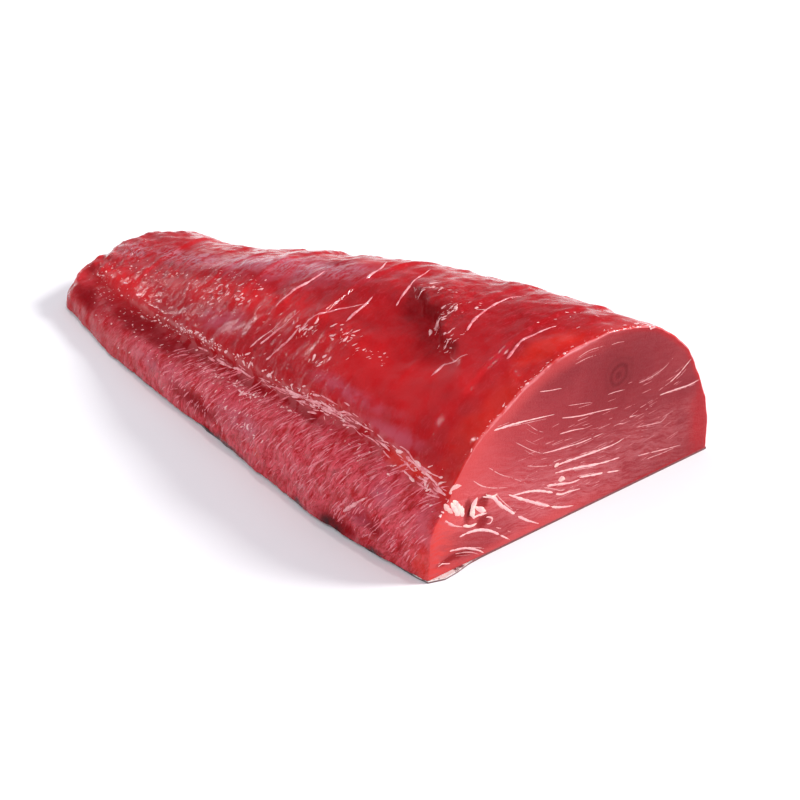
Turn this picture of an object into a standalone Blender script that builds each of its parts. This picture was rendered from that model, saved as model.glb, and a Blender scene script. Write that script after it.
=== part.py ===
"""Raw tuna loin: the tail end of one, cut square across at its thick end and lying on its skin.

The flesh is a loft of dome-shaped sections from the flat cut face to the blunt, lumpy tail end. Its surface
carries the seam along the near flank, the fold on top, the steps where muscle segments end and the lumps of
the tail. The skin is a thin sheet under the flesh with an uneven edge.

+X points to the cut face, +Z up, and the middle of the base is at the origin. Metres.
"""
import math

import bmesh
import bpy
import numpy as np
from mathutils import Vector, noise

# Driving sizes
LENGTH = 0.294
CUT_WIDTH = 0.150
CUT_HEIGHT = 0.0777
SKIN_THICKNESS = 0.0010
SKIN_GAP = 0.0003
FLESH_BASE = SKIN_THICKNESS + SKIN_GAP

# Profiles at equal steps along the length, from the cut face to the tail.
# The edges are shares of the cut's width, across from the loin's middle plane.
NEAR_EDGE = (-0.495, -0.531, -0.509, -0.491, -0.464, -0.390)
FAR_EDGE = (0.538, 0.502, 0.432, 0.335, 0.225, 0.130)
# The ridge's height is a share of the cut's height, and its place a share of the way across.
RIDGE_HEIGHT = (1.000, 0.903, 0.815, 0.628, 0.388, 0.285)
RIDGE_PLACE = (0.545, 0.560, 0.550, 0.540, 0.540, 0.560)
# The squareness of the two shoulders: 2 is an ellipse.
NEAR_SQUARE = (1.95, 2.08, 2.08, 2.05, 2.10, 2.30)
FAR_SQUARE = (2.15, 2.16, 2.10, 2.20, 2.20, 2.30)

# The tail is rounded off past this share of the length, towards a pole at this share of its height.
TAIL_START = 0.945
TAIL_SQUARE = 2.8
TAIL_POLE = 0.38

# How far the tail end stands out from its plain rounding, at equal steps round from the near edge to this
# share of the way round: a low lobe, a notch and a broad lobe.
TAIL_REACH = (0.0000, 0.0006, -0.0008, -0.0030, 0.0022, 0.0046, 0.0038, 0.0010)
TAIL_REACH_END = 0.70
TAIL_REACH_FADE = 0.10
TAIL_REACH_START = 0.90
TAIL_REACH_FULL = 0.97

# The cut's edge is drawn in by this much, over this length.
CUT_EDGE = 0.0009
CUT_EDGE_LENGTH = 0.0040

# The seam between the flank and the top muscle. Its place is a share of the way round from the near edge.
# The top muscle ends in a steep step there, and the flank rises gently from the seam to its swell.
SEAM_PLACE = (0.142, 0.184, 0.160, 0.168, 0.190, 0.210)
SEAM_DEPTH = (0.0010, 0.0026, 0.0034, 0.0038, 0.0030, 0.0010)
SEAM_STEP = 0.0030
SEAM_SLOPE = 0.0085
FLANK_SWELL = 0.0018
FLANK_SWELL_DROP = 0.017
FLANK_SWELL_WIDTH = 0.010
FLANK_SWELL_FULL = 0.60
FLANK_SWELL_END = 0.90

# The fold on top: its ends as (share of length, share of the way round), its depth and its reach to each
# side.
FOLD_START = (0.305, 0.490)
FOLD_END = (0.135, 0.335)
FOLD_DEPTH = 0.0050
FOLD_REACH = 0.022
FOLD_STEP = 0.0036
FOLD_LIP = 0.0026
FOLD_LIP_PLACE = 0.0090
FOLD_LIP_WIDTH = 0.0105
FOLD_FADE = 0.5
# How far the fold's line strays from straight as (reach, wavelength, seed), and where along it that is taken.
FOLD_STRAY = (0.0026, 0.014, 15.0)
FOLD_SAMPLES = np.linspace(-1, 2, 90)

# Broad dents and humps as (share of length, share of the way round, height, reach along, reach across).
DENTS = (
    (0.52, 0.62, -0.0026, 0.021, 0.012),
    (0.66, 0.48, 0.0018, 0.026, 0.016),
    (0.73, 0.26, -0.0018, 0.032, 0.008),
    (0.40, 0.27, -0.0014, 0.024, 0.010),
    (0.22, 0.26, 0.0016, 0.030, 0.020),
    (0.36, 0.76, -0.0018, 0.040, 0.014),
    (0.70, 0.78, 0.0016, 0.034, 0.016),
)

# Steps where muscle segments end under the surface, as (share of length, height, slant). A slant is how
# far the line moves along the length from the near edge to the far edge. The steps keep to the part of the
# dome above the seam.
STEPS = (
    (0.075, 0.0011, 0.10),
    (0.185, 0.0009, 0.13),
    (0.385, 0.0011, 0.06),
    (0.475, 0.0006, 0.09),
    (0.575, 0.0010, 0.12),
    (0.665, 0.0008, 0.08),
    (0.760, 0.0005, 0.10),
    (0.850, 0.0010, 0.13),
)
STEP_RISE = 0.0025
STEP_REACH = 0.013
STEP_MIDDLE = 0.42
STEP_LOW = (0.24, 0.36)
STEP_HIGH = (0.87, 0.97)

# Unevenness of the surface as (height, wavelength, seed).
WAVES = (0.0013, 0.038, 1.0)
LUMPS = (0.0007, 0.014, 2.0)
TAIL_LUMPS = (0.0030, 0.013, 3.0)
TAIL_LUMPS_START = 0.86
SEED_STEP = Vector((1.0, 2.3, 0.7))
ROUGHNESS_OF_NOISE = 0.9
SCALE_OF_OCTAVES = 2.0
OCTAVES = 2

# The relief fades out below this height over the base, and leaves the cut face flat up to this share of
# the length.
FLOOR_FADE = 0.006
CUT_FADE = 0.03

# The skin's edge: how far it is set in, how uneven it is, and the tab that shows at the cut's near corner.
SKIN_INSET = 0.0009
SKIN_UNEVEN = 0.0009
SKIN_WAVELENGTH = 0.009
NEAR_SEED = 1.0
FAR_SEED = 7.0
SKIN_END = 0.972
TAB_LENGTH = 0.0024
TAB_WIDTH = 0.0085
TAB_PLACE = 0.0085

# Grid of the solids
STATIONS = 52
CUT_EDGE_STATIONS = (0.0010, 0.0030)
TAIL_STATIONS = 8
DOME_POINTS = 70
SEAM_BAND = 0.06
SEAM_CLOSER = 2.2
BASE_POINTS = 6
SKIN_STATIONS = 56
SKIN_CUT_POINTS = 22
OUTLINE_SAMPLES = 400
SHARP_ANGLE = math.radians(50)

# Looks
FLESH_COLOUR = (0.48, 0.045, 0.055)
FLESH_ROUGHNESS = 0.3
SKIN_COLOUR = (0.20, 0.21, 0.23)
SKIN_ROUGHNESS = 0.35


def profile(values, s):
    """A smooth curve through values at equal steps from s = 0 to s = 1."""
    v = np.concatenate(([2 * values[0] - values[1]], values, [2 * values[-1] - values[-2]]))
    place = np.clip(np.asarray(s, float), 0, 1) * (len(values) - 1)
    i = np.minimum(place.astype(int), len(values) - 2)
    t = place - i
    a, b, c, d = (v[i + k] for k in range(4))
    return b + 0.5 * t * (c - a + t * (2 * a - 5 * b + 4 * c - d + t * (3 * (b - c) + d - a)))


def smooth(value):
    """0 below 0, 1 above 1 and an even slope between."""
    t = np.clip(value, 0, 1)
    return t * t * (3 - 2 * t)


def swell(distance, reach):
    """A bell-shaped rise, 1 at no distance."""
    return np.exp(-((distance / reach) ** 2))


def between(value, low, high):
    """0 up to low, 1 from high on and an even slope between."""
    return smooth((value - low) / (high - low))


def edges(s):
    """The flesh's near and far edge at s, across from the middle plane."""
    return CUT_WIDTH * profile(NEAR_EDGE, s), CUT_WIDTH * profile(FAR_EDGE, s)


def ridge_height(s):
    """Height of the ridge over the flesh's base at s."""
    return CUT_HEIGHT * profile(RIDGE_HEIGHT, s) - FLESH_BASE


def section(s):
    """The dome's outline at s from the near to the far edge: across, height and arc length."""
    near, far = edges(s)
    ridge = near + (far - near) * profile(RIDGE_PLACE, s)
    angle = np.linspace(0, math.pi, OUTLINE_SAMPLES)
    near_side = angle <= math.pi / 2
    power = 2 / np.where(near_side, profile(NEAR_SQUARE, s), profile(FAR_SQUARE, s))
    reach = np.where(near_side, ridge - near, far - ridge)
    across = ridge - reach * np.sign(np.cos(angle)) * np.abs(np.cos(angle)) ** power
    up = ridge_height(s) * np.maximum(np.sin(angle), 0) ** power
    arc = np.concatenate(([0], np.cumsum(np.hypot(np.diff(across), np.diff(up)))))
    return across, up, arc


def dome_grid(stations, turns):
    """Points of the plain dome, a row for each station and a column for each turn, and each row's girth."""
    points = np.zeros((len(stations), len(turns), 3))
    girth = np.zeros((len(stations), 1))
    for i, s in enumerate(stations):
        across, up, arc = section(s)
        at = turns * arc[-1]
        points[i, :, 0] = LENGTH * (0.5 - s)
        points[i, :, 1] = np.interp(at, arc, across)
        points[i, :, 2] = np.interp(at, arc, up)
        girth[i] = arc[-1]
    return points, girth


def outward(points):
    """Unit normals of a grid of points, pointing out of the dome."""
    normal = np.cross(np.gradient(points, axis=1), np.gradient(points, axis=0))
    return normal / np.linalg.norm(normal, axis=2, keepdims=True)


def wander(place, seed):
    """A smooth random value, about -1 to 1, at a place given in wavelengths."""
    return noise.fractal(Vector(place) + seed * SEED_STEP, ROUGHNESS_OF_NOISE, SCALE_OF_OCTAVES, OCTAVES)


def uneven(points, kind):
    """Smooth random relief at each point of a grid."""
    height, wavelength, seed = kind
    values = [wander(place, seed) for place in points.reshape(-1, 3) / wavelength]
    return height * np.array(values).reshape(points.shape[:2])


def seam_relief(s, turn, girth):
    """The seam along the flank, with the flank's swell below it."""
    off = (turn - profile(SEAM_PLACE, s)) * girth
    reach = np.where(off > 0, SEAM_STEP, SEAM_SLOPE)
    groove = -profile(SEAM_DEPTH, s) * swell(off, reach)
    flank = FLANK_SWELL * swell(off + FLANK_SWELL_DROP, FLANK_SWELL_WIDTH)
    return groove + flank * (1 - between(s, FLANK_SWELL_FULL, FLANK_SWELL_END))


def fold_relief(s, turn, girth):
    """The fold on top: a hollow on the tail's side of a line, and a lip on the cut's side."""
    start, end = np.array(FOLD_START), np.array(FOLD_END)
    run = (end - start) * (LENGTH, np.mean(girth))
    length = np.linalg.norm(run)
    run = run / length
    dx, dw = (s - start[0]) * LENGTH, (turn - start[1]) * girth
    along = (dx * run[0] + dw * run[1]) / length
    reach, wavelength, seed = FOLD_STRAY
    bends = [wander((share * length / wavelength, 0, 0), seed) for share in FOLD_SAMPLES]
    off = dx * run[1] - dw * run[0] - reach * np.interp(along, FOLD_SAMPLES, bends)
    strength = smooth(along / FOLD_FADE + 0.5) * smooth((1 - along) / FOLD_FADE + 0.5)
    hollow = -FOLD_DEPTH * smooth(0.5 - off / FOLD_STEP) * np.exp(-np.abs(off) / FOLD_REACH)
    lip = FOLD_LIP * swell(off - FOLD_LIP_PLACE, FOLD_LIP_WIDTH)
    return strength * (hollow + lip)


def dent_relief(s, turn, girth):
    """Broad dents and humps of the muscle."""
    return sum(
        height * swell((s - place) * LENGTH, along) * swell((turn - way_round) * girth, across)
        for place, way_round, height, along, across in DENTS
    )


def step_relief(s, turn):
    """Low steps across the top, each rising at its line and fading towards the tail."""
    relief = 0
    for place, height, slant in STEPS:
        past = (s - place - slant * (turn - STEP_MIDDLE)) * LENGTH
        fading = np.exp(-np.maximum(past, 0) / STEP_REACH)
        relief = relief + height * smooth(past / STEP_RISE + 0.5) * fading
    return relief * between(turn, *STEP_LOW) * (1 - between(turn, *STEP_HIGH))


def tail_reach(s, turn):
    """How far the tail end stands out past its plain rounding. It fades at the pole, where all rows meet."""
    reach = profile(TAIL_REACH, turn / TAIL_REACH_END) * smooth((TAIL_REACH_END - turn) / TAIL_REACH_FADE)
    pole = np.sqrt(np.clip((1 - s) / (1 - TAIL_REACH_FULL), 0, 1))
    return reach * between(s, TAIL_REACH_START, TAIL_REACH_FULL) * pole


def flesh_grid(stations, turns):
    """Points of the flesh's upper surface with its relief."""
    points, girth = dome_grid(stations, turns)
    s, turn = stations[:, None], turns[None, :]
    relief = seam_relief(s, turn, girth) + fold_relief(s, turn, girth)
    relief = relief + dent_relief(s, turn, girth) + step_relief(s, turn)
    relief = relief + uneven(points, WAVES) + uneven(points, LUMPS)
    relief = relief + between(s, TAIL_LUMPS_START, 1) * uneven(points, TAIL_LUMPS)
    relief = relief - CUT_EDGE * np.exp(-s * LENGTH / CUT_EDGE_LENGTH)
    direction = outward(points)
    direction[..., 0] *= smooth(s / CUT_FADE)
    direction[..., 2] *= smooth(points[..., 2] / FLOOR_FADE)
    points = points + relief[..., None] * direction
    points[..., 0] -= tail_reach(s, turn)
    points[..., 2] += FLESH_BASE
    return points


def tail_scale(s):
    """The size of a section at s next to the plain dome's: 1 up to the tail's rounding, 0 at its pole."""
    q = np.clip((s - TAIL_START) / (1 - TAIL_START), 0, 1)
    return (1 - q ** TAIL_SQUARE) ** (1 / TAIL_SQUARE)


def tail_round(points, stations):
    """Draws the last rows of a grid together into the rounded tail end, about a pole in each row's plane."""
    near, far = edges(stations)
    pole_y = (near + far) / 2
    pole_z = FLESH_BASE + ridge_height(stations) * TAIL_POLE
    scale = tail_scale(stations)[:, None]
    for column, pole in ((1, pole_y[:, None]), (2, pole_z[:, None])):
        points[:, :, column] = pole + (points[:, :, column] - pole) * scale
    return points


def flesh_stations():
    """Stations from the cut to the tail's pole, closer together at the cut's edge and round the tail end."""
    body = np.linspace(0, TAIL_START, STATIONS)
    edge = np.array(CUT_EDGE_STATIONS) / LENGTH
    cap = TAIL_START + (1 - TAIL_START) * np.sin(np.linspace(0, math.pi / 2, TAIL_STATIONS + 1)[1:])
    return np.concatenate((body[:1], edge, body[1:], cap))


def dome_turns():
    """Shares of the way round the dome, closer together near the seam."""
    even = np.linspace(0, 1, OUTLINE_SAMPLES)
    near_seam = swell(even - np.mean(SEAM_PLACE), SEAM_BAND)
    density = 1 + (SEAM_CLOSER - 1) * near_seam
    total = np.concatenate(([0], np.cumsum((density[1:] + density[:-1]) / 2)))
    return np.interp(np.linspace(0, total[-1], DOME_POINTS), total, even)


def flesh_rings():
    """Closed rings of points round the flesh: the dome, then the flat base back to the near edge."""
    stations = flesh_stations()
    dome = flesh_grid(stations, dome_turns())
    share = np.linspace(0, 1, BASE_POINTS + 2)[1:-1][None, :, None]
    base = dome[:, -1:] + (dome[:, :1] - dome[:, -1:]) * share
    return tail_round(np.concatenate((dome, base), axis=1), stations)


def lofted(name, rings):
    """A closed mesh object through rings of points: the first is capped flat, the last meets in a point."""
    mesh = bmesh.new()
    rows = [[mesh.verts.new(point) for point in ring] for ring in rings[:-1]]
    pole = mesh.verts.new(rings[-1].mean(axis=0))
    count = len(rows[0])
    for here, there in zip(rows, rows[1:]):
        for j in range(count):
            k = (j + 1) % count
            mesh.faces.new((here[j], here[k], there[k], there[j]))
    for j in range(count):
        mesh.faces.new((rows[-1][j], rows[-1][(j + 1) % count], pole))
    mesh.faces.new(rows[0][::-1])
    bmesh.ops.recalc_face_normals(mesh, faces=mesh.faces)
    data = bpy.data.meshes.new(name)
    mesh.to_mesh(data)
    mesh.free()
    data.shade_smooth()
    data.set_sharp_from_angle(angle=SHARP_ANGLE)
    return bpy.data.objects.new(name, data)


def skin_outline():
    """The skin's edge seen from above: along the near flank, round the tail and back to the near corner."""
    stations = np.linspace(0, SKIN_END, SKIN_STATIONS)
    near, far = edges(stations)
    middle, scale = (near + far) / 2, tail_scale(stations)
    x = LENGTH * (0.5 - stations)
    sides = []
    for edge, inwards, seed in ((near, 1, NEAR_SEED), (far, -1, FAR_SEED)):
        waves = np.array([wander((place / SKIN_WAVELENGTH, 0, 0), seed) for place in x])
        y = middle + (edge - middle) * scale + inwards * (SKIN_INSET + SKIN_UNEVEN * waves)
        sides.append(np.stack((x, y), axis=1))
    near_side, far_side = sides
    across = np.linspace(far_side[0, 1], near_side[0, 1], SKIN_CUT_POINTS + 2)[1:-1]
    tab = TAB_LENGTH * swell(across - near_side[0, 1] - TAB_PLACE, TAB_WIDTH)
    cut_side = np.stack((x[0] + tab, across), axis=1)
    return np.concatenate((near_side, far_side[::-1], cut_side))


def make_skin():
    """The skin as a flat outline with thickness, its underside on the floor."""
    curve = bpy.data.curves.new("skin", "CURVE")
    curve.dimensions = "2D"
    curve.fill_mode = "BOTH"
    curve.extrude = SKIN_THICKNESS / 2
    outline = skin_outline()
    spline = curve.splines.new("POLY")
    spline.points.add(len(outline) - 1)
    for point, place in zip(spline.points, outline):
        point.co = (*place, 0.0, 1.0)
    spline.use_cyclic_u = True
    skin = bpy.data.objects.new("skin", curve)
    skin.location.z = SKIN_THICKNESS / 2
    return skin


def material(name, colour, roughness):
    """A plain material."""
    made = bpy.data.materials.new(name)
    made.use_nodes = True
    shader = made.node_tree.nodes["Principled BSDF"]
    shader.inputs["Base Color"].default_value = (*colour, 1.0)
    shader.inputs["Roughness"].default_value = roughness
    shader.inputs["Metallic"].default_value = 0.0
    return made


def main():
    """Clears the scene and makes the loin."""
    for old in list(bpy.data.objects):
        bpy.data.objects.remove(old)
    loin = bpy.data.collections.new("tuna_loin")
    bpy.context.scene.collection.children.link(loin)
    flesh = lofted("flesh", flesh_rings())
    flesh.data.materials.append(material("raw_flesh", FLESH_COLOUR, FLESH_ROUGHNESS))
    skin = make_skin()
    skin.data.materials.append(material("silver_skin", SKIN_COLOUR, SKIN_ROUGHNESS))
    for piece in (flesh, skin):
        loin.objects.link(piece)


main()
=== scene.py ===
"""Looks of the raw tuna loin piece: detailed flesh, strands, fibres, lines, fat and flecks, skin and stage.

Metres, +X to the cut face, +Z up, the middle of the base at the origin, as in the solids.
A place on the dome is given as a share of the length from the cut face and a share of the way round from the
near edge.
"""
import functools
import math

import bmesh
import bpy
import numpy as np
from bpy.props import FloatProperty, FloatVectorProperty, IntProperty, PointerProperty
from mathutils import Euler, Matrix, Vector, noise


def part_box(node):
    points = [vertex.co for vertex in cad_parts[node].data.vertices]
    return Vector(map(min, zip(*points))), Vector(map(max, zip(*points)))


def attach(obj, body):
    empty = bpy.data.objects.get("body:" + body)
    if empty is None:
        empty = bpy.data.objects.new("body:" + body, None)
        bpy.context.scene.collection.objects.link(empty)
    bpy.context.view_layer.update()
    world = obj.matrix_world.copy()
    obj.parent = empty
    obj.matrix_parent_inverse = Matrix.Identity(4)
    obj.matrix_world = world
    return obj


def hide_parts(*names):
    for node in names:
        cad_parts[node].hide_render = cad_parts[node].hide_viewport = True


bl_info = {
    "name": "Raw Tuna Loin Piece",
    "version": (1, 0, 0),
    "blender": (4, 5, 0),
    "location": "3D View > Sidebar > Tuna Loin",
    "description": "Builds the detailed looks of a raw tuna loin piece round its solids",
    "category": "Object",
}

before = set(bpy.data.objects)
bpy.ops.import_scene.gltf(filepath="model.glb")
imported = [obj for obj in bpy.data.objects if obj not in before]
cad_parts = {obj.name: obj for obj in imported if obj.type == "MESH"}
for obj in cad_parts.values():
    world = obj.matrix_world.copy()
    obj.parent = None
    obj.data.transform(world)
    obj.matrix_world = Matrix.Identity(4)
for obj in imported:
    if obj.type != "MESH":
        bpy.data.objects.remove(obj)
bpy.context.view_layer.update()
SKIN_LOW, SKIN_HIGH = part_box("skin")

# Driving sizes of the solids
LENGTH = 0.294
CUT_WIDTH = 0.150
CUT_HEIGHT = 0.0777
FLESH_BASE = 0.0013
CUT_X = LENGTH / 2

# Profiles at equal steps from the cut face to the tail, as in the solids
NEAR_EDGE = (-0.495, -0.531, -0.509, -0.491, -0.464, -0.390)
FAR_EDGE = (0.538, 0.502, 0.432, 0.335, 0.225, 0.130)
RIDGE_HEIGHT = (1.000, 0.903, 0.815, 0.628, 0.388, 0.285)
RIDGE_PLACE = (0.545, 0.560, 0.550, 0.540, 0.540, 0.560)
NEAR_SQUARE = (1.95, 2.08, 2.08, 2.05, 2.10, 2.30)
FAR_SQUARE = (2.15, 2.16, 2.10, 2.20, 2.20, 2.30)
TAIL_START = 0.945
TAIL_SQUARE = 2.8
TAIL_POLE = 0.38
TAIL_REACH = (0.0000, 0.0006, -0.0008, -0.0030, 0.0022, 0.0046, 0.0038, 0.0010)
TAIL_REACH_END = 0.70
TAIL_REACH_FADE = 0.10
TAIL_REACH_START = 0.90
TAIL_REACH_FULL = 0.97

# Forms of the solids
CUT_EDGE = 0.0009
CUT_EDGE_LENGTH = 0.0040
SEAM_PLACE = (0.142, 0.184, 0.160, 0.168, 0.190, 0.210)
SEAM_DEPTH = (0.0010, 0.0026, 0.0034, 0.0038, 0.0030, 0.0010)
SEAM_STEP = 0.0030
SEAM_SLOPE = 0.0085
FLANK_SWELL = 0.0018
FLANK_SWELL_DROP = 0.017
FLANK_SWELL_WIDTH = 0.010
FLANK_SWELL_FULL = 0.60
FLANK_SWELL_END = 0.90
FOLD_START = (0.305, 0.490)
FOLD_END = (0.135, 0.335)
FOLD_DEPTH = 0.0050
FOLD_REACH = 0.022
FOLD_STEP = 0.0036
FOLD_LIP = 0.0026
FOLD_LIP_PLACE = 0.0090
FOLD_LIP_WIDTH = 0.0105
FOLD_FADE = 0.5
# How far the fold's line strays, its wavelength and its seed
FOLD_STRAY = (0.0026, 0.014, 15.0)
FOLD_SAMPLES = np.linspace(-1, 2, 90)
# Dents and humps, as (share of length, way round, height, reach along, reach round)
DENTS = (
    (0.52, 0.62, -0.0026, 0.021, 0.012),
    (0.66, 0.48, 0.0018, 0.026, 0.016),
    (0.73, 0.26, -0.0018, 0.032, 0.008),
    (0.40, 0.27, -0.0014, 0.024, 0.010),
    (0.22, 0.26, 0.0016, 0.030, 0.020),
    (0.36, 0.76, -0.0018, 0.040, 0.014),
    (0.70, 0.78, 0.0016, 0.034, 0.016),
)
# Steps at the ends of the muscle segments, as (share of length, height, slant)
STEPS = (
    (0.075, 0.0011, 0.10),
    (0.185, 0.0009, 0.13),
    (0.385, 0.0011, 0.06),
    (0.475, 0.0006, 0.09),
    (0.575, 0.0010, 0.12),
    (0.665, 0.0008, 0.08),
    (0.760, 0.0005, 0.10),
    (0.850, 0.0010, 0.13),
)
STEP_RISE = 0.0025
STEP_REACH = 0.013
STEP_MIDDLE = 0.42
STEP_LOW = (0.24, 0.36)
STEP_HIGH = (0.87, 0.97)
# Random unevenness, as (height, wavelength, seed)
WAVES = (0.0013, 0.038, 1.0)
LUMPS = (0.0007, 0.014, 2.0)
TAIL_LUMPS = (0.0030, 0.013, 3.0)
TAIL_LUMPS_START = 0.86
SEED_STEP = Vector((1.0, 2.3, 0.7))
ROUGHNESS_OF_NOISE = 0.9
SCALE_OF_OCTAVES = 2.0
OCTAVES = 2
FLOOR_FADE = 0.006
CUT_FADE = 0.03

# Fine relief of the flesh, as (height, wavelength across the grain, wavelength along it, seed)
FLANK_FIBRES = (0.00042, 0.0028, 0.0075, 11.0)
TOP_FIBRES = (0.00020, 0.0050, 0.0160, 12.0)
CRINKLES = (0.00055, 0.0032, 0.0048, 13.0)
# Knobs of the tail end, as (height, wavelength, seed)
TAIL_KNOBS = (0.00080, 0.0055, 14.0)
# How far the grain moves towards the tail for each length up the flank or over the top
FLANK_LEAN = 0.45
TOP_LEAN = -0.1
# How much of the fine relief the smooth places lose
SMOOTH_LOSS = 0.92
# The top's fibres: how far from the seam they set in, their share at the cut and where they are full
TOP_FIBRES_RISE = (0.002, 0.010)
TOP_FIBRES_AT_CUT = 0.35
TOP_FIBRES_BAND = (0.15, 0.50)
# The share of the crinkles that lies everywhere, and the most that a place gets
CRINKLES_EVERYWHERE = 0.26
CRINKLES_MOST = 1.1

# Masks of the dome for the materials. The flank's flesh fades over a band at the seam and towards the tail
FLANK_BAND = (-0.006, 0.001)
FLANK_AT_TAIL = 0.25
FAR_FLANK_SHARE = 0.7
FAR_FLANK_BAND = (0.84, 0.90)
SEAM_REACH = 0.0045
SEAM_FADE_IN = (0.0, 0.04)
SEAM_FADE_OUT = (0.60, 0.75)
RIM_REACH = 0.007
TAIL_BAND = (0.90, 1.0)
CREASE_WIDTH = 0.0016
CREASE_PLACE = 0.0006
CREASE_FADE = 0.15
# The depth at which the hollows' painted shade and dull film are full
HOLLOW_FULL = 0.004
HEIGHT_FULL = 0.0012
# The smooth stretches of the top, as (share of length, way round, reach along, reach across)
SMOOTH_PLACES = (
    (0.235, 0.315, 0.045, 0.022),
    (0.120, 0.290, 0.028, 0.020),
    (0.270, 0.430, 0.018, 0.020),
    (0.130, 0.370, 0.016, 0.020),
)
# The crinkled places where the light breaks up, in the same form
CRINKLED_PLACES = (
    (0.600, 0.310, 0.022, 0.009),
    (0.690, 0.330, 0.020, 0.010),
    (0.490, 0.340, 0.011, 0.008),
    (0.395, 0.300, 0.012, 0.008),
    (0.315, 0.318, 0.010, 0.008),
    (0.195, 0.425, 0.011, 0.018),
    (0.245, 0.500, 0.016, 0.012),
    (0.800, 0.380, 0.016, 0.012),
    (0.930, 0.300, 0.014, 0.020),
    (0.330, 0.220, 0.050, 0.008),
    (0.560, 0.780, 0.050, 0.016),
    (0.250, 0.700, 0.030, 0.014),
)

# Hollows in the cut face, as (across, up, height, reach across, reach up)
FACE_HOLLOWS = (
    (-0.0540, 0.0243, -0.0012, 0.0016, 0.0046),
    (-0.0466, 0.0256, -0.0010, 0.0026, 0.0024),
    (-0.0460, 0.0170, -0.0010, 0.0026, 0.0024),
    (-0.0605, 0.0060, -0.0006, 0.0070, 0.0012),
)
# Unevenness of the cut face, as (height, wavelength, seed), and how far in from the rim it is full
FACE_WAVES = (0.00030, 0.022, 21.0)
FACE_GRAIN = (0.00010, 0.004, 22.0)
FACE_FADE = 0.004
RIM_ROUND = 0.0006

# Grid of the flesh
STATIONS = 378
CUT_EDGE_STATIONS = (0.0001, 0.0003, 0.0006, 0.0012, 0.0024)
TAIL_STATIONS = 26
DOME_POINTS = 206
SEAM_BAND = 0.10
SEAM_CLOSER = 1.5
BASE_POINTS = 9
FACE_RINGS = 30
FACE_MIDDLE = (0.006, 0.030)
OUTLINE_SAMPLES = 400
SHARP_ANGLE = math.radians(50)

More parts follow.
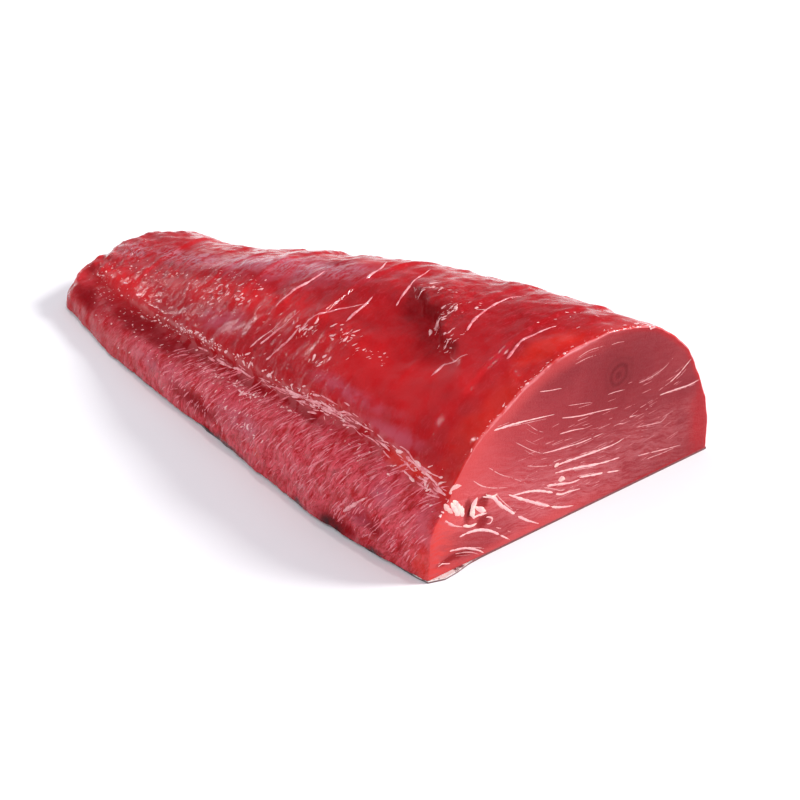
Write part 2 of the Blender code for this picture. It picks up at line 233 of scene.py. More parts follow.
# White lines of the cut face: their points (across, up) in mm, the width in mm and the strength
FACE_LINES = (
    (((-46.8, 55.8), (-39.0, 54.8), (-32.8, 54.3), (-25.4, 53.2), (-10.6, 50.5)), 0.80, 1.0),
    (((-6.7, 47.3), (3.2, 44.6), (12.7, 43.0), (24.3, 40.7)), 0.55, 0.7),
    (((-3.4, 51.7), (3.5, 49.9), (9.8, 48.4)), 0.35, 0.5),
    (((-25.3, 52.1), (-20.5, 47.5), (-16.3, 44.7)), 0.28, 0.4),
    (((-30.8, 45.8), (-22.4, 39.1), (-16.4, 35.2)), 0.35, 0.5),
    (((-16.4, 35.2), (-6.8, 33.5), (4.1, 32.1), (17.2, 31.8)), 0.60, 0.8),
    (((-7.8, 40.5), (-1.2, 39.6), (6.0, 38.0)), 0.60, 0.7),
    (((-44.1, 39.9), (-38.3, 34.6), (-31.8, 30.3), (-24.1, 24.6)), 0.40, 0.4),
    (((-51.8, 37.1), (-47.3, 33.0), (-41.5, 29.7), (-34.0, 26.9)), 0.50, 0.5),
    (((-24.5, 32.9), (-17.3, 29.8), (-10.7, 27.7)), 0.45, 0.4),
    (((-9.2, 26.6), (-2.2, 26.1), (4.5, 25.5), (12.7, 24.7), (23.0, 23.9), (29.4, 24.6)), 1.00, 0.9),
    (((-13.8, 19.4), (-6.5, 17.2), (0.3, 15.3), (5.2, 14.9)), 1.00, 0.9),
    (((-9.0, 23.3), (3.5, 20.9), (15.8, 17.9), (28.2, 16.2)), 1.00, 1.0),
    (((4.5, 16.0), (13.5, 13.7), (20.8, 11.9), (28.7, 9.6)), 1.00, 1.0),
    (((-33.3, 23.3), (-26.1, 18.3), (-19.5, 14.0), (-11.5, 9.1), (-5.2, 6.0), (2.2, 3.7)), 1.20, 1.0),
    (
        ((-32.0, 22.0), (-23.9, 20.7), (-17.9, 18.8), (-11.8, 15.8), (-5.6, 12.2), (-0.7, 11.5), (5.5, 10.3)),
        1.10, 1.0,
    ),
    (((-46.5, 27.7), (-41.4, 25.4), (-37.8, 21.1), (-32.4, 15.5), (-24.5, 8.3), (-15.0, 2.0)), 1.30, 1.0),
    (((-45.7, 18.3), (-41.6, 16.1), (-42.2, 14.2), (-44.5, 14.5)), 0.70, 0.8),
    (((-58.0, 14.4), (-53.5, 14.5), (-49.0, 13.6), (-43.2, 11.1), (-37.3, 6.5), (-32.0, 2.0)), 1.10, 1.0),
    (((-40.9, 11.7), (-35.6, 8.4), (-30.8, 4.8)), 0.50, 0.4),
    (((-63.5, 10.1), (-59.0, 9.2), (-54.5, 7.9), (-48.7, 4.5), (-45.5, 1.8)), 0.90, 0.9),
    (((-60.1, 7.6), (-52.7, 5.2), (-48.0, 2.2)), 0.50, 0.5),
    (((-68.5, 5.2), (-66.2, 5.4), (-61.7, 3.6), (-58.5, 1.8)), 0.80, 0.8),
    (((-67.0, 26.5), (-60.9, 20.9), (-56.4, 18.3)), 0.90, 0.7),
    (((0.2, 71.5), (6.2, 72.4), (14.3, 71.7)), 0.35, 0.5),
    (((-1.4, 69.1), (4.6, 69.5), (12.0, 68.9)), 0.30, 0.4),
    (((18.1, 70.9), (21.8, 70.6), (25.7, 69.8)), 0.30, 0.4),
    (((34.6, 47.9), (41.0, 48.0), (48.8, 49.4), (54.4, 52.7)), 0.40, 0.5),
    (((53.6, 41.4), (58.7, 43.8), (62.4, 46.2), (65.6, 48.3)), 0.60, 0.8),
    (((48.0, 37.5), (57.4, 36.8), (64.9, 36.2), (71.7, 36.5)), 0.65, 0.8),
    (((17.9, 48.8), (22.4, 48.4), (27.5, 47.6)), 0.40, 0.7),
    (((-19.0, 63.4), (-13.6, 62.0), (-7.5, 60.8)), 0.50, 0.7),
    (((30.0, 33.6), (32.6, 33.4), (35.9, 32.9)), 0.50, 0.6),
    (((22.3, 32.7), (25.6, 32.6), (28.9, 31.6)), 0.40, 0.5),
    (((35.8, 27.1), (43.8, 25.4), (50.6, 24.2), (54.3, 26.7)), 0.50, 0.4),
    (((37.7, 12.8), (45.1, 11.5), (54.1, 9.7), (63.8, 8.1)), 0.70, 0.5),
    (((43.4, 9.2), (51.5, 8.5), (59.7, 8.2)), 0.60, 0.4),
)
# Fat in the cut face's near corner and at the ends of two lines, in the same form
FAT_STROKES = (
    (((-61.7, 32.5), (-58.3, 27.6), (-55.9, 22.6)), 3.4, 1.0),
    (((-62.7, 31.9), (-59.9, 26.8), (-58.2, 24.1)), 3.0, 1.0),
    (((-49.4, 28.9), (-51.0, 26.1), (-51.5, 22.7), (-50.8, 19.4)), 2.6, 1.0),
    (((-50.6, 25.0), (-48.2, 22.8), (-44.6, 20.4)), 2.2, 1.0),
    (((-51.4, 20.2), (-48.0, 20.3), (-44.0, 19.4)), 1.5, 1.0),
    (((-56.4, 18.8), (-53.0, 17.1), (-49.1, 16.7)), 1.6, 0.9),
    (((-44.9, 28.0), (-41.4, 25.6), (-39.1, 26.2)), 1.4, 1.0),
    (((-63.5, 37.0), (-61.0, 37.9), (-57.5, 37.3)), 2.6, 0.6),
    (((-66.0, 32.6), (-64.4, 30.1), (-61.5, 26.5)), 2.2, 0.6),
    (((-9.6, 26.4), (-8.2, 26.7), (-6.8, 26.2)), 2.2, 0.7),
    (((-7.2, 19.4), (-5.4, 19.2), (-3.2, 18.2)), 2.4, 0.7),
    (((-9.8, 18.2), (-8.9, 18.0), (-7.8, 17.6)), 1.3, 0.7),
)
# Strands along the seam, in shares of the length and of the way round: where their middles lie and how far
# they spread, as a mean and a deviation, the limits of the middles, the length, and the start of the first
SEAM_STRAND_MIDDLE = (0.25, 0.14)
SEAM_STRAND_LIMITS = (0.02, 0.64)
SEAM_STRAND_OFFSET = (0.006, 0.0075)
SEAM_STRAND_SLANT = (-0.03, 0.07)
SEAM_STRAND_LENGTH = (0.025, 0.080)
SEAM_STRAND_NEAREST = 0.005
# The strands' waves: the height as a share of the way round, how close they come and where they set in
SEAM_STRAND_WAVE = 0.002
SEAM_STRAND_WAVES = (60, 140)
SEAM_STRAND_PHASE = (0, 6)
SEAM_STRAND_VARIETY = (0.5, 1.2)

# Single fibres of the flank: where they lie as shares, how long they are in metres, their lean and bend as a
# mean and a deviation, and how their widths vary
FIBRE_PLACES = (0.02, 0.62)
FIBRE_TURNS = (0.01, 0.15)
FIBRE_LENGTH = (0.0026, 0.0085)
FIBRE_LEAN = (0.55, 0.12)
FIBRE_BEND = (40.0, 25.0)
FIBRE_VARIETY = (0.6, 1.4)
FIBRE_STEPS = 8
# Pale edges of the muscle segments, as three or four places on the dome and the half width
# They also stand for painted highlights along the steps at the segments' ends
SEGMENT_EDGES = (
    (((0.474, 0.324), (0.477, 0.371), (0.474, 0.429), (0.480, 0.470)), 0.00105),
    (((0.392, 0.293), (0.389, 0.324), (0.370, 0.367), (0.341, 0.409)), 0.00070),
    (((0.338, 0.351), (0.341, 0.402), (0.345, 0.430)), 0.00080),
    (((0.389, 0.467), (0.405, 0.520), (0.427, 0.568)), 0.00080),
    (((0.303, 0.436), (0.330, 0.510), (0.353, 0.585)), 0.00060),
    (((0.147, 0.420), (0.164, 0.463), (0.186, 0.548), (0.183, 0.602)), 0.00080),
    (((0.059, 0.396), (0.070, 0.450), (0.064, 0.512)), 0.00090),
    (((0.442, 0.232), (0.433, 0.278), (0.427, 0.336)), 0.00065),
    (((0.411, 0.208), (0.401, 0.251), (0.398, 0.301)), 0.00085),
    (((0.455, 0.215), (0.448, 0.255), (0.442, 0.295)), 0.00050),
    (((0.132, 0.315), (0.134, 0.335), (0.136, 0.352)), 0.00115),
    (((0.136, 0.347), (0.124, 0.362), (0.112, 0.378)), 0.00055),
    (((0.085, 0.176), (0.051, 0.168), (0.020, 0.157)), 0.00110),
    (((0.155, 0.042), (0.133, 0.069), (0.111, 0.093)), 0.00090),
)
# Every strand: its sides, the step along it, the wavelengths of its width and of its rise, how far apart the
# two are read in the random field, the range of its seed, the narrowest share of its width, the half width
# left at its ends, and the fewest places along a line
STRAND_SIDES = 8
STRAND_STEP = 0.0008
STRAND_RAGGED_WAVE = 0.0022
STRAND_RISE_WAVE = 0.0050
STRAND_RISE_APART = 5
STRAND_SEEDS = (30, 90)
STRAND_NARROWEST = 0.15
STRAND_TIP = 0.00001
PATH_FEWEST = 6
# Kinds of strand: how far sunk, how much it rises and sinks on its way, how ragged and how flat it is, all as
# shares of its half width, and at which share of its length it is widest
SEAM_KIND = (0.45, 0.90, 0.70, 0.56, 0.50)
EDGE_KIND = (0.45, 0.45, 0.35, 0.80, 0.22)
FIBRE_KIND = (0.62, 0.50, 0.70, 0.80, 0.40)
LINE_KIND = (0.10, 0.06, 0.50, 0.22, 0.35)
FAT_KIND = (0.10, 0.03, 0.60, 0.22, 0.50)
FLECK_KIND = (0.40, 0.50, 1.10, 0.55, 0.40)
# How a line's width grows with its strength
LINE_WIDTH_LEAST = 0.70
LINE_WIDTH_GROWTH = 0.45
# Hairlines beside each line of the cut face: how many, how far off, how thin, how they turn and the fewest
# points of one
HAIRLINES = 2
HAIRLINE_OFF = 0.0011
HAIRLINE_SHARE = (0.25, 0.5)
HAIRLINE_TURN = 0.05
HAIRLINE_FEWEST = 9
# Faint dashes between the lines: how many, where they lie, their slope as a mean and a deviation and how it
# steepens to the far side, their length, half width, points and strength
FACE_DASHES = 110
FACE_DASH_ACROSS = (-0.030, 0.064)
FACE_DASH_UP = (0.008, 0.050)
FACE_DASH_SLOPE = (-0.08, 0.07)
FACE_DASH_STEEPER = 5.0
FACE_DASH_LENGTH = (0.0025, 0.0080)
FACE_DASH_HALF = (0.00008, 0.00018)
FACE_DASH_STEPS = 12
FACE_DASH_STRENGTH = (0.0, 0.3)

# Pale flecks: partly painted sparkle highlights in the crinkled places, partly pale specks of tissue along
# the seam and rim
# Clusters of short pale flecks, as (share of length, way round, spread along, spread round, how many, size,
# turn from the way to the cut towards the crest)
FLECK_CLUSTERS = (
    (0.591, 0.317, 0.036, 0.016, 62, 1.15, 1.15),
    (0.657, 0.325, 0.026, 0.016, 20, 0.90, 1.15),
    (0.385, 0.300, 0.012, 0.014, 34, 1.10, 1.15),
    (0.313, 0.315, 0.014, 0.011, 30, 1.10, 1.15),
    (0.250, 0.305, 0.016, 0.012, 24, 0.60, 1.15),
    (0.205, 0.447, 0.011, 0.020, 54, 1.10, 1.25),
    (0.275, 0.497, 0.020, 0.008, 30, 1.00, 1.15),
    (0.160, 0.392, 0.007, 0.014, 24, 0.85, 1.15),
    (0.440, 0.130, 0.040, 0.004, 34, 0.90, 0.60),
    (0.400, 0.085, 0.036, 0.014, 44, 0.90, 0.90),
    (0.020, 0.135, 0.016, 0.016, 26, 0.90, 0.90),
    (0.003, 0.280, 0.002, 0.050, 22, 0.50, 1.50),
    (0.003, 0.430, 0.002, 0.060, 26, 0.50, 1.50),
    (0.313, 0.243, 0.009, 0.009, 9, 1.60, 1.15),
    (0.690, 0.190, 0.045, 0.010, 26, 0.80, 0.15),
    (0.560, 0.193, 0.045, 0.006, 30, 0.85, 0.15),
    (0.440, 0.190, 0.036, 0.006, 24, 0.90, 0.15),
    (0.320, 0.187, 0.036, 0.006, 26, 0.90, 0.15),
    (0.215, 0.183, 0.030, 0.007, 24, 0.90, 0.15),
    (0.410, 0.127, 0.040, 0.004, 16, 0.80, 0.60),
    (0.316, 0.143, 0.025, 0.004, 12, 0.80, 0.60),
    (0.900, 0.200, 0.030, 0.045, 30, 0.80, 1.15),
    (0.790, 0.370, 0.030, 0.014, 26, 0.95, 1.15),
    (0.850, 0.300, 0.030, 0.022, 16, 0.80, 1.15),
    (0.500, 0.270, 0.050, 0.020, 30, 0.60, 1.15),
    (0.620, 0.260, 0.050, 0.020, 24, 0.60, 1.15),
    (0.100, 0.560, 0.030, 0.025, 16, 0.80, 1.15),
    (0.150, 0.150, 0.030, 0.010, 16, 0.80, 0.50),
    (0.060, 0.162, 0.022, 0.008, 20, 1.00, 0.20),
    (0.005, 0.640, 0.003, 0.070, 40, 0.70, 1.50),
    (0.560, 0.780, 0.040, 0.016, 20, 1.00, 1.15),
    (0.250, 0.700, 0.024, 0.014, 14, 1.00, 1.15),
    (0.800, 0.290, 0.090, 0.060, 170, 0.50, 1.15),
    (0.740, 0.150, 0.100, 0.040, 130, 0.55, 0.60),
    (0.600, 0.100, 0.080, 0.035, 80, 0.55, 0.90),
    (0.620, 0.360, 0.070, 0.030, 70, 0.55, 1.15),
    (0.930, 0.330, 0.025, 0.080, 60, 0.55, 1.15),
    (0.640, 0.186, 0.060, 0.006, 46, 0.90, 0.20),
    (0.520, 0.184, 0.050, 0.005, 36, 0.90, 0.20),
    (0.470, 0.125, 0.060, 0.010, 40, 0.70, 0.60),
)
# One fleck: its length, its points, how its turn and size stray, how it bends and the limits of its place
FLECK_LENGTH = (0.0008, 0.0026)
FLECK_STEPS = 6
FLECK_STRAY = 0.45
FLECK_VARIETY = 0.38
FLECK_BEND = 120.0
FLECK_LIMITS = (0.0005, 0.98)
# The way round the dome in metres, near its middle
MEAN_GIRTH = 0.22
# Seeds of the random draws, one for each piece
SEAM_SEED = 7
LINE_SEED = 8
FLECK_SEED = 9
FAT_SEED = 10
FIBRE_SEED = 11

# How the patches' outlines stray, as (share of their reach, wavelength, seed)
PATCH_RAGGED = (0.45, 0.010, 16.0)
# Patches of colour on the dome, as (share of length, way round, reach along, reach round, softness)
# Darker flesh, mostly along the seam's groove and by the fold, where it is also painted shade
DARK_PATCHES = (
    (0.760, 0.145, 0.110, 0.034, 0.6),
    (0.650, 0.128, 0.080, 0.018, 0.8),
    (0.590, 0.150, 0.090, 0.015, 0.6),
    (0.430, 0.148, 0.070, 0.010, 0.6),
    (0.300, 0.160, 0.060, 0.009, 0.6),
    (0.900, 0.110, 0.040, 0.040, 0.8),
    (0.520, 0.050, 0.060, 0.018, 0.8),
    (0.100, 0.045, 0.030, 0.012, 0.7),
    (0.500, 0.520, 0.030, 0.040, 0.7),
    (0.245, 0.445, 0.060, 0.012, 0.8),
    (0.170, 0.010, 0.045, 0.016, 0.6),
)
# The mauve film over the flesh; its broad patch by the crest towards the tail is painted sheen
MAUVE_FILM_AND_SHEEN_PATCHES = (
    (0.400, 0.075, 0.050, 0.022, 0.7),
    (0.125, 0.055, 0.022, 0.020, 0.5),
    (0.095, 0.105, 0.022, 0.018, 0.6),
    (0.012, 0.090, 0.018, 0.040, 0.6),
    (0.640, 0.075, 0.060, 0.020, 0.8),
    (0.560, 0.250, 0.050, 0.030, 0.8),
    (0.230, 0.228, 0.070, 0.012, 0.9),
    (0.120, 0.200, 0.050, 0.012, 0.9),
    (0.600, 0.480, 0.160, 0.070, 0.8),
)
# Painted sheen: a grey-lilac reflection laid into the colour along the crest towards the tail
CREST_SHEEN_PATCHES = (
    (0.640, 0.470, 0.120, 0.040, 0.8),
    (0.500, 0.480, 0.070, 0.034, 0.8),
    (0.800, 0.480, 0.090, 0.050, 0.8),
    (0.930, 0.420, 0.030, 0.060, 0.8),
)
# Painted shade: places of the top darkened in colour, where the main light falls too brightly
SHADED_PATCHES = (
    (0.130, 0.520, 0.150, 0.090, 0.9),
    (0.300, 0.400, 0.045, 0.045, 0.9),
    (0.620, 0.400, 0.150, 0.040, 0.9),
    (0.800, 0.500, 0.140, 0.090, 0.9),
    (0.450, 0.560, 0.130, 0.060, 0.9),
    (0.430, 0.450, 0.120, 0.060, 0.9),
)
BRIGHT_PATCHES = (
    (0.210, 0.300, 0.150, 0.080, 0.9),
    (0.310, 0.400, 0.040, 0.030, 0.8),
    (0.560, 0.330, 0.180, 0.040, 0.9),
    (0.850, 0.240, 0.090, 0.060, 0.8),
    (0.420, 0.560, 0.060, 0.030, 0.8),
    (0.960, 0.160, 0.030, 0.050, 0.7),
)
# Places low on the flank where the skin's dark edge reaches up
SLATE_PATCHES = (
    (0.180, 0.004, 0.022, 0.013, 0.6),
    (0.245, 0.002, 0.018, 0.007, 0.6),
    (0.100, 0.002, 0.020, 0.006, 0.6),
    (0.420, 0.002, 0.050, 0.005, 0.6),
)
ORANGE_PATCHES = (
    (0.000, 0.020, 0.030, 0.035, 0.6),
    (0.005, 0.290, 0.028, 0.100, 0.7),
    (0.030, 0.455, 0.024, 0.060, 0.6),
    (0.354, 0.042, 0.009, 0.010, 0.5),
    (0.075, 0.165, 0.045, 0.012, 0.7),
)
COLOUR_PATCHES = {
    "dark": DARK_PATCHES,
    "mauve": MAUVE_FILM_AND_SHEEN_PATCHES,
    "film": CREST_SHEEN_PATCHES,
    "shaded": SHADED_PATCHES,
    "bright": BRIGHT_PATCHES,
    "orange": ORANGE_PATCHES,
    "slate": SLATE_PATCHES,
}

# Sizes of the effects in the materials, in metres
FLESH_MOTTLE = 0.012
CUT_MOTTLE = 0.016
TISSUE_MOTTLE = 0.0035
SKIN_MOTTLE = 0.005
FLESH_THREADS = {"Across": 0.0018, "Along": 0.0055}
CUT_THREADS = {"Across": 0.0016, "Along": 0.012}
CUT_THREADS_TURN = math.radians(14)
FLESH_FILM = 0.006
TISSUE_FILM = 0.002
THREADS_STRAY = 0.005
FACE_STRAY = 0.0030
# Bends of the threads and of the cut face's patches for each metre
THREADS_BENDS = 90.0
FACE_BENDS = 110.0
# The patches' ragged outline, as bends for each reach and a share of the reach
PATCH_BENDS = 2.6
PATCH_STRAY = 0.9
# Grain of the flesh for each metre, and how much closer the fine threads and the film's ripples lie
GRAIN_DENSITY = 1100.0
FINE_THREADS = 2.7
RIPPLES = 4.0
MIDDLE_GREY = (0.5, 0.5, 0.5)
MOISTURE_IOR = 1.36
# Heights of the bumps in the finishes
FLESH_BUMPS = 0.0009
CUT_BUMPS = 0.0006
TISSUE_BUMPS = 0.0003
SKIN_BUMPS = 0.0003

# Patches of colour on the cut face, as (place, reach, softness), with places and reaches across and up
FACE_STREAKED = ((-0.012, 0.017), (0.062, 0.016), 0.9)
FACE_SHADES = (
    ((0.050, 0.036), (0.030, 0.006), 0.8),
    ((0.012, 0.050), (0.040, 0.022), 0.9),
    ((-0.050, 0.009), (0.020, 0.009), 0.8),
)
FACE_CORNER = ((-0.070, 0.014), (0.009, 0.022), 0.8)
FACE_FAR_RED = ((0.0745, 0.018), (0.006, 0.020), 0.7)
# How far the painted shade of the cut face's pockets spreads past its hollows, and how soft its edge is
POCKET_GROWTH = 1.2
POCKET_SOFTNESS = 0.4
# Its dark spot: the middle, the distances over which its shade and its rings set in, and the rings' spacing
FACE_SPOT = (0.0236, 0.0560, 0.0)
SPOT_SHADE_BAND = (0.0230, 0.0040)
SPOT_RINGS_BAND = (0.0095, 0.0040)
SPOT_RING = 0.0034
# Where its far side darkens and its near side pales, and how these bands slant with the height
FACE_FAR_BAND = (-0.035, 0.060)
FACE_FAR_SLANT = 0.25
FACE_NEAR_BAND = (-0.030, -0.085)
FACE_NEAR_SLANT = 0.35
FACE_HIGH_BAND = (0.044, 0.068)
# Its rim: where across it counts as near or far, how far in each tint reaches, and the heights at which a
# painted highlight lines the near rim
NEAR_RIM_BAND = (0.035, -0.010)
PALE_RIM_REACH = (0.0090, 0.0010)
FAR_RIM_BAND = (0.0, 0.05)
FAR_RIM_REACH = (0.0028, 0.0003)
RIM_HIGHLIGHT_REACH = (0.0014, 0.0)
RIM_HIGHLIGHT_BAND = (0.040, 0.055)

# The skin: its torn tab and how high it turns silver, its edge at the cut, and its scales for each metre
SKIN_TAB = (CUT_X, SKIN_LOW.y + 0.012, SKIN_HIGH.z)
SKIN_TAB_REACH = (0.008, 0.014, 1.0)
SKIN_TAB_BAND = (SKIN_HIGH.z * 0.35, SKIN_HIGH.z * 0.8)
SKIN_EDGE_BAND = (CUT_X - 0.0012, CUT_X - 0.0004)
SKIN_SCALES = 420.0

# Camera and light
CAMERA_PLACE = (0.5899, -0.4512, 0.4159)
CAMERA_TURN = (60.0, 0.0, 50.58)
CAMERA_LENS = 85.0
CAMERA_SENSOR = 36.0
CAMERA_NEAREST = 0.01
FLOOR_SIZE = 14.0
FLOOR_GAP = 0.0002
FLOOR_ROUGHNESS = 0.9
SKY_COLOUR = (0.96, 0.93, 1.05)
# Heights between which the backdrop fades into the sky, and the sky into the light overhead, as the upward
# part of the way there
HORIZON_BAND = (0.24, 0.06)
ZENITH_BAND = (0.70, 0.92)
# The ways to the main light and to the light on the near flank
SUN_WAY = (0.45, 0.74, 0.50)
FILL_WAY = (0.10, -0.98, 0.14)
FILL_SOFTNESS = math.radians(60)
# The small bright lights, as the way to each and its share of their power
SPARKS = (((-0.20, 0.10, 0.97), 1.0), ((-0.05, -0.60, 0.80), 1.0), ((-0.94, 0.00, 0.34), 0.25))
SPARK_FAR = 0.9
SPARK_SIZE = 0.05
# A millimetre
MM = 0.001


def colour_property(name, description, default):
    """A colour that the panel shows."""
    return FloatVectorProperty(
        name=name, description=description, default=default, subtype="COLOR", size=3, min=0.0, max=1.0
    )


class LoinSizes(bpy.types.PropertyGroup):
    """Sizes of what is laid over the solids."""

    relief: FloatProperty(
        name="Relief", description="Share of the fine relief's full height", default=1.0, min=0.0, max=2.0
    )
    strand_width: FloatProperty(
        name="Strand Width", description="Half width of a seam strand", default=0.00050, unit="LENGTH"
    )
    strand_count: IntProperty(name="Strands", description="Strands along the seam", default=84, min=0)
    fibre_width: FloatProperty(
        name="Fibre Width", description="Half width of a flank fibre", default=0.00033, unit="LENGTH"
    )
    fibre_count: IntProperty(name="Fibres", description="Single fibres on the flank", default=460, min=0)
    fleck_width: FloatProperty(
        name="Fleck Width", description="Half width of a middling fleck", default=0.00036, unit="LENGTH"
    )


class LoinColours(bpy.types.PropertyGroup):
    """Colours of the loin, as linear values."""

    red: colour_property("Flesh Red", "The top muscle", (0.385, 0.007, 0.010))
    # Dark red: the darker flesh, and painted shade in the hollows, the relief's low places, the shaded top
    # and the cut face's pockets
    dark: colour_property("Dark Red", "Hollows and the blood line", (0.200, 0.003, 0.005))
    # Painted shade: the colour laid into the fold's deep crease
    blood: colour_property("Blood Red", "The deepest crease", (0.150, 0.002, 0.003))
    bright: colour_property("Bright Red", "The smooth top muscle near the cut", (0.560, 0.010, 0.012))
    orange: colour_property("Orange Red", "Thin flesh at the cut's rim and corners", (0.600, 0.020, 0.009))
    rose: colour_property("Flank Rose", "The flesh of the flank", (0.620, 0.062, 0.088))
    fibre: colour_property("Fibre Pink", "Single fibres of the flank", (0.720, 0.170, 0.210))
    # The mauve film; by the crest it is also painted sheen
    mauve: colour_property("Mauve Film", "The membrane over the flesh", (0.460, 0.075, 0.115))
    # Painted sheen: the grey-lilac reflection laid along the crest
    film: colour_property("Grey Film", "The dull film along the crest", (0.400, 0.205, 0.250))
    cut: colour_property("Cut Flesh", "The middle of the cut face", (0.385, 0.037, 0.046))
    cut_pale: colour_property("Pale Cut Flesh", "The cut face's near side", (0.520, 0.058, 0.060))
    cut_dark: colour_property("Dark Cut Flesh", "The cut face's far side", (0.190, 0.011, 0.017))
    spot: colour_property("Cut Spot", "The dark ringed spot of the cut face", (0.085, 0.004, 0.006))
    faint: colour_property("Faint Lines", "The weakest lines of the cut face", (0.480, 0.085, 0.095))
    tissue: colour_property("Connective Tissue", "Strands and lines", (0.830, 0.360, 0.380))
    # Flecks: partly painted sparkle highlights, partly pale specks of tissue
    fleck: colour_property("Flecks", "The pale flecks of the outer flesh", (0.800, 0.410, 0.395))
    fat: colour_property("Fat", "Fat in the cut face", (0.870, 0.600, 0.510))
    line: colour_property("White Lines", "The strongest lines of the cut face", (0.800, 0.480, 0.450))
    silver: colour_property("Silver Skin", "The skin's inner side and its torn tab", (0.800, 0.780, 0.740))
    edge: colour_property("Skin Edge", "The skin's edge under the cut face", (0.170, 0.045, 0.050))
    slate: colour_property("Slate Skin", "The skin's outer side", (0.030, 0.022, 0.024))
    scales: colour_property("Scale Edges", "The edges of the skin's scales", (0.090, 0.070, 0.070))


class LoinStage(bpy.types.PropertyGroup):
    """Floor and light."""

    floor: colour_property("Floor", "The plain floor", (0.90, 0.90, 0.90))
    horizon: FloatProperty(
        name="Horizon", description="Strength of the pale backdrop's light", default=0.6, min=0.0
    )
    middle: FloatProperty(
        name="Middle", description="Strength of the dimmer sky above it", default=0.49, min=0.0
    )
    zenith: FloatProperty(
        name="Zenith", description="Strength of the light overhead", default=0.60, min=0.0
    )
    sun: FloatProperty(
        name="Sun", description="Strength of the soft main light", default=4.4, min=0.0
    )
    fill: FloatProperty(
        name="Fill", description="Strength of the light on the near flank", default=0.8, min=0.0
    )
    sun_softness: FloatProperty(
        name="Sun Softness", description="Width of the main light", default=math.radians(21), subtype="ANGLE"
    )
    spark: FloatProperty(
        name="Spark", description="Power of each small bright light, in watts", default=1.1, min=0.0
    )


def profile(values, s):
    """A smooth curve through values at equal steps from s = 0 to s = 1."""
    v = np.concatenate(([2 * values[0] - values[1]], values, [2 * values[-1] - values[-2]]))
    place = np.clip(np.asarray(s, float), 0, 1) * (len(values) - 1)
    i = np.minimum(place.astype(int), len(values) - 2)
    t = place - i
    a, b, c, d = (v[i + k] for k in range(4))
    return b + 0.5 * t * (c - a + t * (2 * a - 5 * b + 4 * c - d + t * (3 * (b - c) + d - a)))


def smooth(value):
    """0 below 0, 1 above 1 and an even slope between."""
    t = np.clip(value, 0, 1)
    return t * t * (3 - 2 * t)


def swell(distance, reach):
    """A bell-shaped rise, 1 at no distance."""
    return np.exp(-((distance / reach) ** 2))


def between(value, low, high):
    """0 up to low, 1 from high on and an even slope between."""
    return smooth((value - low) / (high - low))


def edges(s):
    """The flesh's near and far edge at s, across from the middle plane."""
    return CUT_WIDTH * profile(NEAR_EDGE, s), CUT_WIDTH * profile(FAR_EDGE, s)


def ridge_height(s):
    """Height of the ridge over the flesh's base at s."""
    return CUT_HEIGHT * profile(RIDGE_HEIGHT, s) - FLESH_BASE


def section(s):
    """The dome's outline at s from the near to the far edge: across, height and arc length."""
    near, far = edges(s)
    ridge = near + (far - near) * profile(RIDGE_PLACE, s)
    angle = np.linspace(0, math.pi, OUTLINE_SAMPLES)
    near_side = angle <= math.pi / 2
    power = 2 / np.where(near_side, profile(NEAR_SQUARE, s), profile(FAR_SQUARE, s))
    reach = np.where(near_side, ridge - near, far - ridge)
    across = ridge - reach * np.sign(np.cos(angle)) * np.abs(np.cos(angle)) ** power
    up = ridge_height(s) * np.maximum(np.sin(angle), 0) ** power
    arc = np.concatenate(([0], np.cumsum(np.hypot(np.diff(across), np.diff(up)))))
    return across, up, arc


def dome_grid(stations, turns):
    """Points of the plain dome, a row for each station and a column for each turn, and each row's girth."""
    points = np.zeros((len(stations), len(turns), 3))
    girth = np.zeros((len(stations), 1))
    for i, s in enumerate(stations):
        across, up, arc = section(s)
        at = turns * arc[-1]
        points[i, :, 0] = LENGTH * (0.5 - s)
        points[i, :, 1] = np.interp(at, arc, across)
        points[i, :, 2] = np.interp(at, arc, up)
        girth[i] = arc[-1]
    return points, girth


def outward(points):
    """Unit normals of a grid of points, pointing out of the dome."""
    normal = np.cross(np.gradient(points, axis=1), np.gradient(points, axis=0))
    return normal / np.maximum(np.linalg.norm(normal, axis=2, keepdims=True), 1e-12)


def wander(place, seed):
    """A smooth random value, about -1 to 1, at a place given in wavelengths."""
    return noise.fractal(Vector(place) + seed * SEED_STEP, ROUGHNESS_OF_NOISE, SCALE_OF_OCTAVES, OCTAVES)


def uneven(points, kind):
    """Smooth random relief at each point of a grid."""
    height, wavelength, seed = kind
    values = [wander(place, seed) for place in points.reshape(-1, 3) / wavelength]
    return height * np.array(values).reshape(points.shape[:-1])


def grained(grain, way, kind):
    """Random relief drawn out along the flesh's grain."""
    height, across, along, seed = kind
    places = np.stack((grain / across, way / along, np.zeros_like(grain)), axis=-1)
    values = [wander(place, seed) for place in places.reshape(-1, 3)]
    return height * np.array(values).reshape(grain.shape)


def seam_relief(s, turn, girth):
    """The seam along the flank, with the flank's swell below it."""
    off = (turn - profile(SEAM_PLACE, s)) * girth
    reach = np.where(off > 0, SEAM_STEP, SEAM_SLOPE)
    groove = -profile(SEAM_DEPTH, s) * swell(off, reach)
    flank = FLANK_SWELL * swell(off + FLANK_SWELL_DROP, FLANK_SWELL_WIDTH)
    return groove + flank * (1 - between(s, FLANK_SWELL_FULL, FLANK_SWELL_END))


